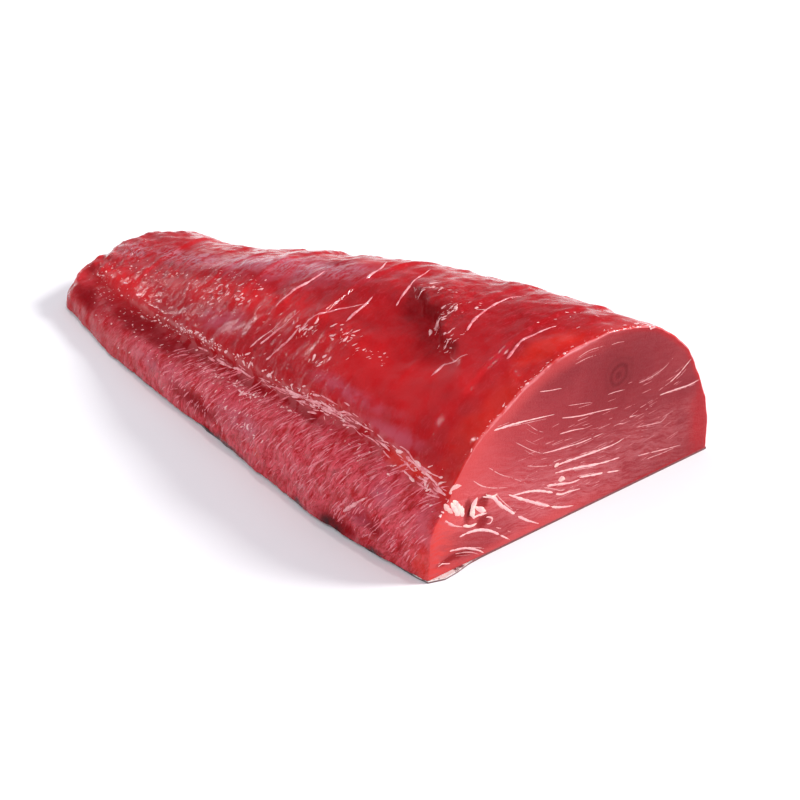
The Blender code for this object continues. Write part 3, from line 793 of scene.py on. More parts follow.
def fold_place(s, turn, girth):
    """Where places lie to the fold's line: the share of the way along it and the distance from it."""
    start, end = np.array(FOLD_START), np.array(FOLD_END)
    run = (end - start) * (LENGTH, np.mean(girth))
    length = np.linalg.norm(run)
    run = run / length
    dx, dw = (s - start[0]) * LENGTH, (turn - start[1]) * girth
    along = (dx * run[0] + dw * run[1]) / length
    reach, wavelength, seed = FOLD_STRAY
    bends = [wander((share * length / wavelength, 0, 0), seed) for share in FOLD_SAMPLES]
    return along, dx * run[1] - dw * run[0] - reach * np.interp(along, FOLD_SAMPLES, bends)


def fold_relief(s, turn, girth):
    """The fold on top: a hollow on the tail's side of a line, and a lip on the cut's side."""
    along, off = fold_place(s, turn, girth)
    strength = smooth(along / FOLD_FADE + 0.5) * smooth((1 - along) / FOLD_FADE + 0.5)
    hollow = -FOLD_DEPTH * smooth(0.5 - off / FOLD_STEP) * np.exp(-np.abs(off) / FOLD_REACH)
    lip = FOLD_LIP * swell(off - FOLD_LIP_PLACE, FOLD_LIP_WIDTH)
    return strength * (hollow + lip)


def dent_relief(s, turn, girth):
    """Broad dents and humps of the muscle."""
    return sum(
        height * swell((s - place) * LENGTH, along) * swell((turn - way_round) * girth, across)
        for place, way_round, height, along, across in DENTS
    )


def step_relief(s, turn):
    """Low steps across the top, each rising at its line and fading towards the tail."""
    relief = 0
    for place, height, slant in STEPS:
        past = (s - place - slant * (turn - STEP_MIDDLE)) * LENGTH
        fading = np.exp(-np.maximum(past, 0) / STEP_REACH)
        relief = relief + height * smooth(past / STEP_RISE + 0.5) * fading
    return relief * between(turn, *STEP_LOW) * (1 - between(turn, *STEP_HIGH))


def tail_reach(s, turn):
    """How far the tail end stands out past its plain rounding. It fades at the pole, where all rows meet."""
    reach = profile(TAIL_REACH, turn / TAIL_REACH_END) * smooth((TAIL_REACH_END - turn) / TAIL_REACH_FADE)
    pole = np.sqrt(np.clip((1 - s) / (1 - TAIL_REACH_FULL), 0, 1))
    return reach * between(s, TAIL_REACH_START, TAIL_REACH_FULL) * pole


def tail_round(points, stations):
    """Draws the last rows of a grid together into the rounded tail end, about a pole in each row's plane."""
    near, far = edges(stations)
    pole_y = (near + far) / 2
    pole_z = FLESH_BASE + ridge_height(stations) * TAIL_POLE
    q = np.clip((stations - TAIL_START) / (1 - TAIL_START), 0, 1)
    scale = ((1 - q ** TAIL_SQUARE) ** (1 / TAIL_SQUARE))[:, None]
    for column, pole in ((1, pole_y[:, None]), (2, pole_z[:, None])):
        points[:, :, column] = pole + (points[:, :, column] - pole) * scale
    return points


def patches_mask(patches, s, turn, ragged):
    """1 in the named patches of the dome, with a ragged soft edge."""
    mask = 0
    for place, way_round, along, across, softness in patches:
        away = np.hypot((s - place) / along, (turn - way_round) / across) + ragged
        mask = np.maximum(mask, smooth((1 + softness - away) / (2 * softness)))
    return mask


def places_mask(places, s, turn, girth):
    """1 in the named places of the dome, fading outwards."""
    mask = 0
    for place, way_round, along, across in places:
        here = swell((s - place) * LENGTH, along) * swell((turn - way_round) * girth, across)
        mask = np.maximum(mask, here)
    return mask


def dome_masks(s, turn, girth, off, ragged):
    """Where each kind of flesh, film, painted sheen and painted shade lies on the dome, as values from 0 to
    1.
    """
    masks = {name: patches_mask(patches, s, turn, ragged) for name, patches in COLOUR_PATCHES.items()}
    tailwards = 1 - between(s, FLANK_SWELL_FULL, FLANK_SWELL_END)
    near_flank = (1 - between(off, *FLANK_BAND)) * (FLANK_AT_TAIL + (1 - FLANK_AT_TAIL) * tailwards)
    masks["flank"] = near_flank + FAR_FLANK_SHARE * between(turn, *FAR_FLANK_BAND)
    masks["smooth"] = places_mask(SMOOTH_PLACES, s, turn, girth)
    masks["crinkled"] = places_mask(CRINKLED_PLACES, s, turn, girth)
    masks["seam"] = swell(off, SEAM_REACH) * between(s, *SEAM_FADE_IN) * (1 - between(s, *SEAM_FADE_OUT))
    masks["rim"] = np.exp(-s * LENGTH / RIM_REACH) * np.ones_like(turn)
    masks["tail"] = between(s, *TAIL_BAND) * np.ones_like(turn)
    along, beside = fold_place(s, turn, girth)
    on_crease = smooth(along / CREASE_FADE + 0.5) * smooth((1 - along) / CREASE_FADE + 0.5)
    masks["crease"] = swell(beside - CREASE_PLACE, CREASE_WIDTH) * on_crease
    return masks


def flesh_stations():
    """Stations from the cut to the tail's pole, closer together at the cut's edge and round the tail end."""
    body = np.linspace(0, TAIL_START, STATIONS)
    edge = np.array(CUT_EDGE_STATIONS) / LENGTH
    cap = TAIL_START + (1 - TAIL_START) * np.sin(np.linspace(0, math.pi / 2, TAIL_STATIONS + 1)[1:])
    return np.unique(np.concatenate((body, edge, cap)))


def dome_turns():
    """Shares of the way round the dome, closer together near the seam."""
    even = np.linspace(0, 1, OUTLINE_SAMPLES)
    density = 1 + (SEAM_CLOSER - 1) * swell(even - np.mean(SEAM_PLACE), SEAM_BAND)
    total = np.concatenate(([0], np.cumsum((density[1:] + density[:-1]) / 2)))
    return np.interp(np.linspace(0, total[-1], DOME_POINTS), total, even)


class Dome:
    """The finished upper surface of the flesh, its masks, and a way to look up a point on it."""

    def __init__(self, share):
        self.stations, self.turns = flesh_stations(), dome_turns()
        plain, girth = dome_grid(self.stations, self.turns)
        s, turn = self.stations[:, None], self.turns[None, :]
        off = (turn - profile(SEAM_PLACE, s)) * girth
        grain = s * LENGTH + off * np.where(off < 0, FLANK_LEAN, TOP_LEAN)
        way = turn * girth
        self.masks = dome_masks(s, turn, girth, off, uneven(plain, PATCH_RAGGED))
        hollows = seam_relief(s, turn, girth) + fold_relief(s, turn, girth)
        broad = hollows + dent_relief(s, turn, girth) + step_relief(s, turn)
        broad = broad + uneven(plain, WAVES) + uneven(plain, LUMPS)
        broad = broad + between(s, TAIL_LUMPS_START, 1) * uneven(plain, TAIL_LUMPS)
        broad = broad - CUT_EDGE * np.exp(-s * LENGTH / CUT_EDGE_LENGTH)
        fine = self.fine_relief(s, plain, grain, way, off) * share
        corner = np.clip(1 - s * LENGTH / RIM_ROUND, 0, 1)
        relief = broad + fine - RIM_ROUND * (1 - np.sqrt(1 - corner ** 2))
        direction = outward(plain)
        direction[..., 0] *= smooth(s / CUT_FADE)
        direction[..., 2] *= smooth(plain[..., 2] / FLOOR_FADE)
        points = plain + relief[..., None] * direction
        points[..., 0] -= tail_reach(s, turn)
        points[..., 2] += FLESH_BASE
        # How deep the seam and the fold lie, which the material paints as shade and dulls
        self.masks["hollow"] = np.clip(-hollows / HOLLOW_FULL, 0, 1)
        self.masks["height"] = np.clip(0.5 + fine / HEIGHT_FULL, 0, 1)
        self.grain_place = np.stack((grain, way, np.zeros_like(grain)), axis=-1)
        self.dome_place = np.stack((s + 0 * turn, turn + 0 * s, np.zeros_like(grain)), axis=-1)
        self.open = points
        self.points = tail_round(points.copy(), self.stations)
        self.normals = outward(self.points)

    def fine_relief(self, s, plain, grain, way, off):
        """Fibres of the flank and the top, crinkles, and the knobs of the tail end."""
        masks = self.masks
        calm = 1 - SMOOTH_LOSS * masks["smooth"]
        along = TOP_FIBRES_AT_CUT + (1 - TOP_FIBRES_AT_CUT) * between(s, *TOP_FIBRES_BAND)
        top = between(off, *TOP_FIBRES_RISE) * calm * along
        relief = masks["flank"] * grained(grain, way, FLANK_FIBRES)
        relief = relief + top * grained(grain, way, TOP_FIBRES)
        rough = np.clip(CRINKLES_EVERYWHERE * calm + masks["crinkled"], 0, CRINKLES_MOST)
        relief = relief + rough * grained(grain, way, CRINKLES)
        return relief + masks["tail"] * uneven(plain, TAIL_KNOBS)

    def at(self, s, turn):
        """The surface's points and outward normals at places on the dome."""
        i = np.interp(s, self.stations, np.arange(len(self.stations)))
        j = np.interp(turn, self.turns, np.arange(len(self.turns)))
        i0 = np.minimum(i.astype(int), len(self.stations) - 2)
        j0 = np.minimum(j.astype(int), len(self.turns) - 2)
        u, v = (i - i0)[:, None], (j - j0)[:, None]
        found = []
        for field in (self.points, self.normals):
            low = field[i0, j0] * (1 - v) + field[i0, j0 + 1] * v
            high = field[i0 + 1, j0] * (1 - v) + field[i0 + 1, j0 + 1] * v
            found.append(low * (1 - u) + high * u)
        points, normals = found
        return points, normals / np.linalg.norm(normals, axis=1, keepdims=True)


@functools.lru_cache(maxsize=2)
def finished_dome(share):
    """The flesh's upper surface with this share of its fine relief, worked out once."""
    return Dome(share)


def face_relief(across, up):
    """How far the cut face stands out at places on it: hollows and the knife's waves."""
    relief = sum(
        height * swell(across - y, wide) * swell(up - z, tall) for y, z, height, wide, tall in FACE_HOLLOWS
    )
    places = np.stack((across, up, np.zeros_like(across)), axis=-1)
    return relief + uneven(places, FACE_WAVES) + uneven(places, FACE_GRAIN)


def face_rings(rim):
    """Rings of points over the cut face from its rim to its middle, and how far each lies in from the rim."""
    middle = np.array((CUT_X, *FACE_MIDDLE))
    share = 1 - np.arange(1, FACE_RINGS) / FACE_RINGS
    rings = middle + (rim[None] - middle) * share[:, None, None]
    rings = np.concatenate((rings.reshape(-1, 3), middle[None]))
    reach = np.linalg.norm(rim - middle, axis=1)
    inward = np.concatenate((((1 - share)[:, None] * reach[None, :]).ravel(), [reach.mean()]))
    rings[:, 0] += face_relief(rings[:, 1], rings[:, 2]) * smooth(inward / FACE_FADE)
    return rings, inward


def ring_faces(first, second, count):
    """Quads between two rings of vertices, given by their first index."""
    j = np.arange(count)
    k = (j + 1) % count
    return np.stack((first + j, first + k, second + k, second + j), axis=1).tolist()


def fan_faces(ring, tip, count):
    """Triangles from a ring of vertices to a tip."""
    return [(ring + j, ring + (j + 1) % count, tip) for j in range(count)]


def mesh_object(name, vertices, faces, materials):
    """A mesh object of these vertices and faces, put into the scene."""
    data = bpy.data.meshes.new(name)
    data.from_pydata(np.asarray(vertices).tolist(), [], faces)
    data.validate()
    for material in materials:
        data.materials.append(material)
    made = bpy.data.objects.new(name, data)
    bpy.context.scene.collection.objects.link(made)
    return made


def face_outwards(made):
    """Turns every face of a closed mesh to point out, and shades it smooth between its sharp edges."""
    mesh = bmesh.new()
    mesh.from_mesh(made.data)
    bmesh.ops.recalc_face_normals(mesh, faces=mesh.faces)
    mesh.to_mesh(made.data)
    mesh.free()
    made.data.shade_smooth()
    made.data.set_sharp_from_angle(angle=SHARP_ANGLE)


def store(made, name, values):
    """Keeps a value or a vector for each vertex, for the material to read."""
    values = np.asarray(values, np.float32)
    if values.ndim == 1:
        made.data.attributes.new(name, "FLOAT", "POINT").data.foreach_set("value", values)
    else:
        made.data.attributes.new(name, "FLOAT_VECTOR", "POINT").data.foreach_set("vector", values.ravel())


def make_flesh(share, materials):
    """The flesh as one closed mesh: the dome, the flat base, the rounded tail and the cut face."""
    dome = finished_dome(share)
    steps = np.linspace(0, 1, BASE_POINTS + 2)[1:-1][None, :, None]
    base = dome.open[:, -1:] + (dome.open[:, :1] - dome.open[:, -1:]) * steps
    rings = tail_round(np.concatenate((dome.open, base), axis=1), dome.stations)
    rings[..., 2] -= (FLESH_BASE - SKIN_HIGH.z) * (1 - smooth((rings[..., 2] - FLESH_BASE) / FLOOR_FADE))
    count = rings.shape[1]
    body = rings[:-1].reshape(-1, 3)
    tip = rings[-1].mean(axis=0)
    face, inward = face_rings(rings[0])
    vertices = np.concatenate((body, tip[None], face))
    rows = len(rings) - 1
    faces = []
    for row in range(rows - 1):
        faces += ring_faces(row * count, (row + 1) * count, count)
    faces += fan_faces((rows - 1) * count, rows * count, count)
    outer = len(faces)
    start = rows * count + 1
    faces += ring_faces(0, start, count)
    for row in range(FACE_RINGS - 2):
        faces += ring_faces(start + row * count, start + (row + 1) * count, count)
    faces += fan_faces(start + (FACE_RINGS - 2) * count, len(vertices) - 1, count)
    flesh = mesh_object("loin_flesh", vertices, faces, materials)
    indices = np.zeros(len(faces), np.int32)
    indices[outer:] = 1
    flesh.data.polygons.foreach_set("material_index", indices)
    rest = np.zeros((len(rings), BASE_POINTS))
    for name, mask in dome.masks.items():
        on_rows = np.concatenate((mask * np.ones_like(dome.open[..., 0]), rest), axis=1)
        store(flesh, name, np.concatenate((on_rows[:-1].ravel(), [0], np.zeros(len(face)))))
    for name, field in (("grain_place", dome.grain_place), ("dome_place", dome.dome_place)):
        on_base = np.repeat(field[:, -1:], BASE_POINTS, axis=1)
        on_rows = np.concatenate((field, on_base), axis=1)[:-1].reshape(-1, 3)
        store(flesh, name, np.concatenate((on_rows, field[-1:, 0], np.zeros((len(face), 3)))))
    store(flesh, "inward", np.concatenate((np.zeros(len(body) + 1), inward)))
    face_outwards(flesh)
    return flesh


def strand(points, normals, width, draws, kind):
    """A ragged strand of this half width along points of a surface: its vertices and faces."""
    sunk, lifted, rough, flat, widest = kind
    count = len(points)
    along = np.gradient(points, axis=0)
    along = along / np.linalg.norm(along, axis=1, keepdims=True)
    side = np.cross(normals, along)
    seed = draws.uniform(*STRAND_SEEDS)
    run = np.concatenate(([0], np.cumsum(np.linalg.norm(np.diff(points, axis=0), axis=1))))
    ragged = np.array([wander((place / STRAND_RAGGED_WAVE, 0, 0), seed) for place in run])
    lift = np.array([wander((place / STRAND_RISE_WAVE, STRAND_RISE_APART, 0), seed) for place in run])
    skewed = np.linspace(0, 1, count) ** (math.log(0.5) / math.log(widest))
    taper = np.sqrt(np.clip(np.sin(math.pi * skewed), 0, 1))
    half = width * taper * np.maximum(1 + rough * ragged, STRAND_NARROWEST) + STRAND_TIP
    rise = half * (lifted * lift - sunk)
    angle = np.arange(STRAND_SIDES) / STRAND_SIDES * 2 * math.pi
    wide, tall = np.cos(angle)[None, :, None], np.sin(angle)[None, :, None]
    ring = side[:, None] * wide + flat * normals[:, None] * tall
    rings = points[:, None] + normals[:, None] * rise[:, None, None] + ring * half[:, None, None]
    vertices = np.concatenate((rings.reshape(-1, 3), points[:1], points[-1:]))
    faces = []
    for row in range(count - 1):
        faces += ring_faces(row * STRAND_SIDES, (row + 1) * STRAND_SIDES, STRAND_SIDES)
    faces += fan_faces(0, len(vertices) - 2, STRAND_SIDES)
    faces += fan_faces((count - 1) * STRAND_SIDES, len(vertices) - 1, STRAND_SIDES)
    return vertices, faces


def joined(parts):
    """Vertices and faces of several meshes as one."""
    vertices, faces, start = [], [], 0
    for points, polygons in parts:
        vertices.append(points)
        faces += [tuple(index + start for index in polygon) for polygon in polygons]
        start += len(points)
    return np.concatenate(vertices), faces


def joined_object(name, parts, material, strengths=None):
    """Several closed meshes as one object, with a strength kept for each mesh if they are given."""
    vertices, faces = joined(parts)
    made = mesh_object(name, vertices, faces, [material])
    if strengths is not None:
        store(made, "strength", np.repeat(strengths, [len(points) for points, polygons in parts]))
    face_outwards(made)
    return made


def path_through(places, scale):
    """Closely spaced places on a smooth curve through a few."""
    places = np.array(places)
    run = np.linalg.norm(np.diff(places, axis=0) * scale, axis=1).sum()
    t = np.linspace(0, 1, max(int(run / STRAND_STEP), PATH_FEWEST))
    return np.stack((profile(places[:, 0], t), profile(places[:, 1], t)), axis=1)


def make_fibres(sizes, material):
    """Single pale fibres that rise from the flank, joined as one mesh."""
    dome = finished_dome(sizes.relief)
    draws = np.random.default_rng(FIBRE_SEED)
    parts = []
    for _ in range(sizes.fibre_count):
        s, turn = draws.uniform(*FIBRE_PLACES), draws.uniform(*FIBRE_TURNS)
        rise = np.linspace(0, draws.uniform(*FIBRE_LENGTH), FIBRE_STEPS)
        shift = draws.normal(*FIBRE_LEAN) * rise + draws.normal(*FIBRE_BEND) * rise ** 2
        points, normals = dome.at(s - shift / LENGTH, turn + rise / MEAN_GIRTH)
        half = sizes.fibre_width * draws.uniform(*FIBRE_VARIETY)
        parts.append(strand(points, normals, half, draws, FIBRE_KIND))
    return joined_object("loin_fibres", parts, material)


def make_strands(sizes, material):
    """The seam's connective strands and the segments' pale edges, partly painted highlights, as one mesh."""
    dome = finished_dome(sizes.relief)
    draws = np.random.default_rng(SEAM_SEED)
    parts = []
    for _ in range(sizes.strand_count):
        middle = np.clip(draws.normal(*SEAM_STRAND_MIDDLE), *SEAM_STRAND_LIMITS)
        length = draws.uniform(*SEAM_STRAND_LENGTH)
        start = max(middle - length / 2, SEAM_STRAND_NEAREST)
        s = np.arange(start, middle + length / 2, STRAND_STEP / LENGTH)
        offset = draws.normal(*SEAM_STRAND_OFFSET)
        slant = draws.normal(*SEAM_STRAND_SLANT)
        waves = np.sin(s * draws.uniform(*SEAM_STRAND_WAVES) + draws.uniform(*SEAM_STRAND_PHASE))
        off = offset + slant * (s - middle) + SEAM_STRAND_WAVE * waves
        points, normals = dome.at(s, profile(SEAM_PLACE, s) + off)
        half = sizes.strand_width * draws.uniform(*SEAM_STRAND_VARIETY)
        parts.append(strand(points, normals, half, draws, SEAM_KIND))
    for places, width in SEGMENT_EDGES:
        path = path_through(places, (LENGTH, MEAN_GIRTH))
        points, normals = dome.at(path[:, 0], path[:, 1])
        parts.append(strand(points, normals, width, draws, EDGE_KIND))
    return joined_object("loin_strands", parts, material)


def face_path(path):
    """Points and normals of the cut face along places on it."""
    out = CUT_X + face_relief(path[:, 0], path[:, 1])
    points = np.column_stack((out, path))
    return points, np.tile((1.0, 0.0, 0.0), (len(points), 1))


def make_face_lines(material):
    """The white lines of the cut face, the hairlines beside them and the dashes between, as one mesh."""
    draws = np.random.default_rng(LINE_SEED)
    parts, strengths = [], []
    for places, width, strength in FACE_LINES:
        path = path_through(np.array(places) * MM, 1.0)
        half = width * MM / 2 * (LINE_WIDTH_LEAST + LINE_WIDTH_GROWTH * strength)
        parts.append(strand(*face_path(path), half, draws, LINE_KIND))
        strengths.append(strength)
        for _ in range(HAIRLINES):
            low, high = sorted(draws.uniform(0, 1, 2))
            piece = path[int(low * len(path)):int(high * len(path))]
            if len(piece) >= HAIRLINE_FEWEST:
                turned = draws.normal(0, HAIRLINE_TURN) * (piece - piece[0])[:, ::-1] * (-1, 1)
                piece = piece + draws.normal(0, HAIRLINE_OFF, 2) + turned
                thin = half * draws.uniform(*HAIRLINE_SHARE)
                parts.append(strand(*face_path(piece), thin, draws, LINE_KIND))
                strengths.append(strength / 2)
    for _ in range(FACE_DASHES):
        middle = np.array((draws.uniform(*FACE_DASH_ACROSS), draws.uniform(*FACE_DASH_UP)))
        slope = draws.normal(*FACE_DASH_SLOPE) + FACE_DASH_STEEPER * max(middle[0], 0)
        run = np.linspace(-0.5, 0.5, FACE_DASH_STEPS)[:, None] * draws.uniform(*FACE_DASH_LENGTH)
        half = draws.uniform(*FACE_DASH_HALF)
        parts.append(strand(*face_path(middle + run * (1.0, slope)), half, draws, LINE_KIND))
        strengths.append(draws.uniform(*FACE_DASH_STRENGTH))
    return joined_object("loin_face_lines", parts, material, strengths)


def make_fat(material):
    """The strokes of fat in the cut face, joined as one mesh."""
    draws = np.random.default_rng(FAT_SEED)
    parts, strengths = [], []
    for places, width, strength in FAT_STROKES:
        path = path_through(np.array(places) * MM, 1.0)
        parts.append(strand(*face_path(path), width * MM / 2, draws, FAT_KIND))
        strengths.append(strength)
    return joined_object("loin_fat", parts, material, strengths)


def make_flecks(sizes, material):
    """Short pale glossy flecks in clusters, partly painted sparkle highlights, joined as one mesh."""
    dome = finished_dome(sizes.relief)
    draws = np.random.default_rng(FLECK_SEED)
    parts = []
    for place, way_round, along, across, count, size, way in FLECK_CLUSTERS:
        for _ in range(count):
            s, turn = draws.normal(place, along), draws.normal(way_round, across)
            turned = draws.normal(way, FLECK_STRAY)
            size_here = size * math.exp(draws.normal(0, FLECK_VARIETY))
            reach = np.linspace(0, size_here * draws.uniform(*FLECK_LENGTH), FLECK_STEPS)
            bend = draws.normal(0, FLECK_BEND) * reach ** 2
            cutwards = reach * math.cos(turned) - bend * math.sin(turned)
            upwards = reach * math.sin(turned) + bend * math.cos(turned)
            path_s = np.clip(s - cutwards / LENGTH, *FLECK_LIMITS)
            points, normals = dome.at(path_s, turn + upwards / MEAN_GIRTH)
            parts.append(strand(points, normals, sizes.fleck_width * size_here, draws, FLECK_KIND))
    return joined_object("loin_flecks_and_sparkles", parts, material)


class Shading:
    """Short ways to add and join the nodes of one material or group."""

    def __init__(self, tree):
        self.tree = tree
        self.tree.nodes.clear()

    def put(self, socket, value):
        """Sets an input, or links it if the value is another node's output."""
        if isinstance(value, bpy.types.NodeSocket):
            self.tree.links.new(value, socket)
        elif socket.type == "RGBA":
            socket.default_value = (*value[:3], 1.0)
        else:
            socket.default_value = value

    def node(self, kind, inputs=None, **settings):
        """A new node with these settings and inputs."""
        made = self.tree.nodes.new(kind)
        for name, value in settings.items():
            setattr(made, name, value)
        for name, value in (inputs or {}).items():
            self.put(made.inputs[name], value)
        return made

    def math(self, operation, *values):
        """The outcome of a sum with one or two values."""
        return self.node("ShaderNodeMath", dict(enumerate(values)), operation=operation).outputs[0]

    def join(self, operation, values):
        """The outcome of a sum with several values, taken two at a time."""
        return functools.reduce(lambda first, second: self.math(operation, first, second), values)

    def plus(self, *values):
        """Values added together."""
        return self.join("ADD", values)

    def minus(self, first, second):
        """The first value less the second."""
        return self.math("SUBTRACT", first, second)

    def times(self, *values):
        """Values multiplied together."""
        return self.join("MULTIPLY", values)

    def over(self, first, second):
        """The first value divided by the second."""
        return self.math("DIVIDE", first, second)

    def most(self, *values):
        """The greatest of several values."""
        return self.join("MAXIMUM", values)

    def vector(self, operation, *values):
        """The outcome of a sum with vectors."""
        made = self.node("ShaderNodeVectorMath", dict(enumerate(values)), operation=operation)
        return made.outputs["Value" if operation in ("LENGTH", "DISTANCE") else "Vector"]

    def strayed(self, place, bends, reach, detail):
        """A place moved about at random, by up to half the reach each way."""
        inputs = {"Vector": place, "Scale": bends, "Detail": detail}
        stray = self.vector("SUBTRACT", self.node("ShaderNodeTexNoise", inputs).outputs["Color"], MIDDLE_GREY)
        stray = self.node("ShaderNodeVectorMath", {0: stray, "Scale": reach}, operation="SCALE").outputs[0]
        return self.vector("ADD", place, stray)

    def parts(self, place):
        """The three parts of a vector."""
        return self.node("ShaderNodeSeparateXYZ", {0: place}).outputs

    def whole(self, first, second):
        """A flat vector of two parts."""
        return self.node("ShaderNodeCombineXYZ", {0: first, 1: second, 2: 0.0}).outputs[0]

    def between(self, value, low, high):
        """0 at low, 1 at high and an even slope between. Low may be the greater."""
        settings = {"Value": value, "From Min": low, "From Max": high, "To Min": 0.0, "To Max": 1.0}
        return self.node("ShaderNodeMapRange", settings, interpolation_type="SMOOTHSTEP").outputs["Result"]

    def mix(self, share, first, second):
        """The first colour with a share of the second."""
        made = self.tree.nodes.new("ShaderNodeMix")
        made.data_type = "RGBA"
        for index, value in ((0, share), (6, first), (7, second)):
            self.put(made.inputs[index], value)
        return made.outputs[2]

    def layer(self, under, over, share, *masks):
        """A colour with another laid over it, as far as the share and the masks say."""
        return self.mix(self.times(*masks, share), under, over)

    def noise(self, place, scale, detail=3.0, roughness=0.55):
        """Smooth random values from 0 to 1."""
        inputs = {"Vector": place, "Scale": scale, "Detail": detail, "Roughness": roughness}
        return self.node("ShaderNodeTexNoise", inputs).outputs["Fac"]

    def object_place(self):
        """Each point's place on the piece, in metres."""
        return self.node("ShaderNodeTexCoord").outputs["Object"]

    def attribute(self, name, output="Fac"):
        """A value or vector kept with the mesh."""
        return self.node("ShaderNodeAttribute", attribute_name=name).outputs[output]

    def group(self, name, **inputs):
        """The outputs of one of the shared effects."""
        made = self.node("ShaderNodeGroup", node_tree=bpy.data.node_groups[name])
        for socket, value in inputs.items():
            self.put(made.inputs[socket], value)
        return made.outputs

    def bump(self, height, distance, strength):
        """The surface's direction with small bumps in it."""
        inputs = {"Height": height, "Distance": distance, "Strength": strength}
        return self.node("ShaderNodeBump", inputs).outputs[0]

    def surface(self, inputs):
        """Ends the material with its shader."""
        shader = self.node("ShaderNodeBsdfPrincipled", inputs)
        self.node("ShaderNodeOutputMaterial", {"Surface": shader.outputs[0]})


def new_group(name, inputs, outputs):
    """An empty shader group with named sockets: its short ways, its inputs and its output node."""
    tree = bpy.data.node_groups.new(name, "ShaderNodeTree")
    for socket, kind in inputs:
        tree.interface.new_socket(socket, in_out="INPUT", socket_type=f"NodeSocket{kind}")
    for socket, kind in outputs:
        tree.interface.new_socket(socket, in_out="OUTPUT", socket_type=f"NodeSocket{kind}")
    shading = Shading(tree)
    given = shading.node("NodeGroupInput").outputs
    result = shading.node("NodeGroupOutput").inputs
    return shading, given, result


def patch_group():
    """A soft-edged, slightly ragged oval patch."""
    sockets = (("Place", "Vector"), ("Centre", "Vector"), ("Reach", "Vector"), ("Softness", "Float"))
    shading, given, result = new_group("Soft patch", sockets, (("Mask", "Float"),))
    apart = shading.vector("SUBTRACT", given["Place"], given["Centre"])
    apart = shading.vector("DIVIDE", apart, given["Reach"])
    ragged = shading.times(shading.minus(shading.noise(apart, PATCH_BENDS), 0.5), PATCH_STRAY)
    away = shading.plus(shading.vector("LENGTH", apart), ragged)
    outside = shading.plus(1.0, given["Softness"])
    inside = shading.minus(1.0, given["Softness"])
    shading.put(result["Mask"], shading.between(away, outside, inside))


def mottle_group():
    """Broad blotches and fine grain of raw flesh."""
    outputs = (("Blotches", "Float"), ("Grain", "Float"))
    shading, given, result = new_group("Flesh mottle", (("Place", "Vector"), ("Size", "Float")), outputs)
    broad = shading.noise(given["Place"], shading.over(1.0, given["Size"]), 4.0, 0.6)
    shading.put(result["Blotches"], shading.between(broad, 0.32, 0.68))
    fine = shading.noise(given["Place"], GRAIN_DENSITY, 3.0, 0.7)
    shading.put(result["Grain"], shading.between(fine, 0.30, 0.70))


def fibre_group():
    """Threads drawn out along the flesh's grain, bent a little."""
    sockets = (("Grain Place", "Vector"), ("Across", "Float"), ("Along", "Float"))
    shading, given, result = new_group("Flesh fibres", sockets, (("Threads", "Float"),))
    bent = shading.parts(shading.strayed(given["Grain Place"], THREADS_BENDS, THREADS_STRAY, 1.0))
    place = shading.whole(shading.over(bent[0], given["Across"]), shading.over(bent[1], given["Along"]))
    coarse = shading.noise(place, 1.0, 2.0, 0.5)
    fine = shading.noise(place, FINE_THREADS, 2.0, 0.6)
    shading.put(result["Threads"], shading.between(shading.plus(coarse, fine), 0.72, 1.28))


def film_group():
    """The wet film: how much of it lies at a place, and its small ripples."""
    sockets = (("Place", "Vector"), ("Size", "Float"))
    shading, given, result = new_group("Wet film", sockets, (("Cover", "Float"), ("Ripples", "Float")))
    scale = shading.over(1.0, given["Size"])
    cover = shading.noise(given["Place"], scale, 2.0, 0.5)
    shading.put(result["Cover"], shading.between(cover, 0.34, 0.58))
    shading.put(result["Ripples"], shading.noise(given["Place"], shading.times(scale, RIPPLES), 3.0, 0.5))


def make_groups():
    """Builds the effects that more than one material uses, once."""
    if "Soft patch" not in bpy.data.node_groups:
        for build in (patch_group, mottle_group, fibre_group, film_group):
            build()


def new_material(name):
    """An empty material and the short ways to its nodes."""
    made = bpy.data.materials.new(name)
    made.use_nodes = True
    return made, Shading(made.node_tree)


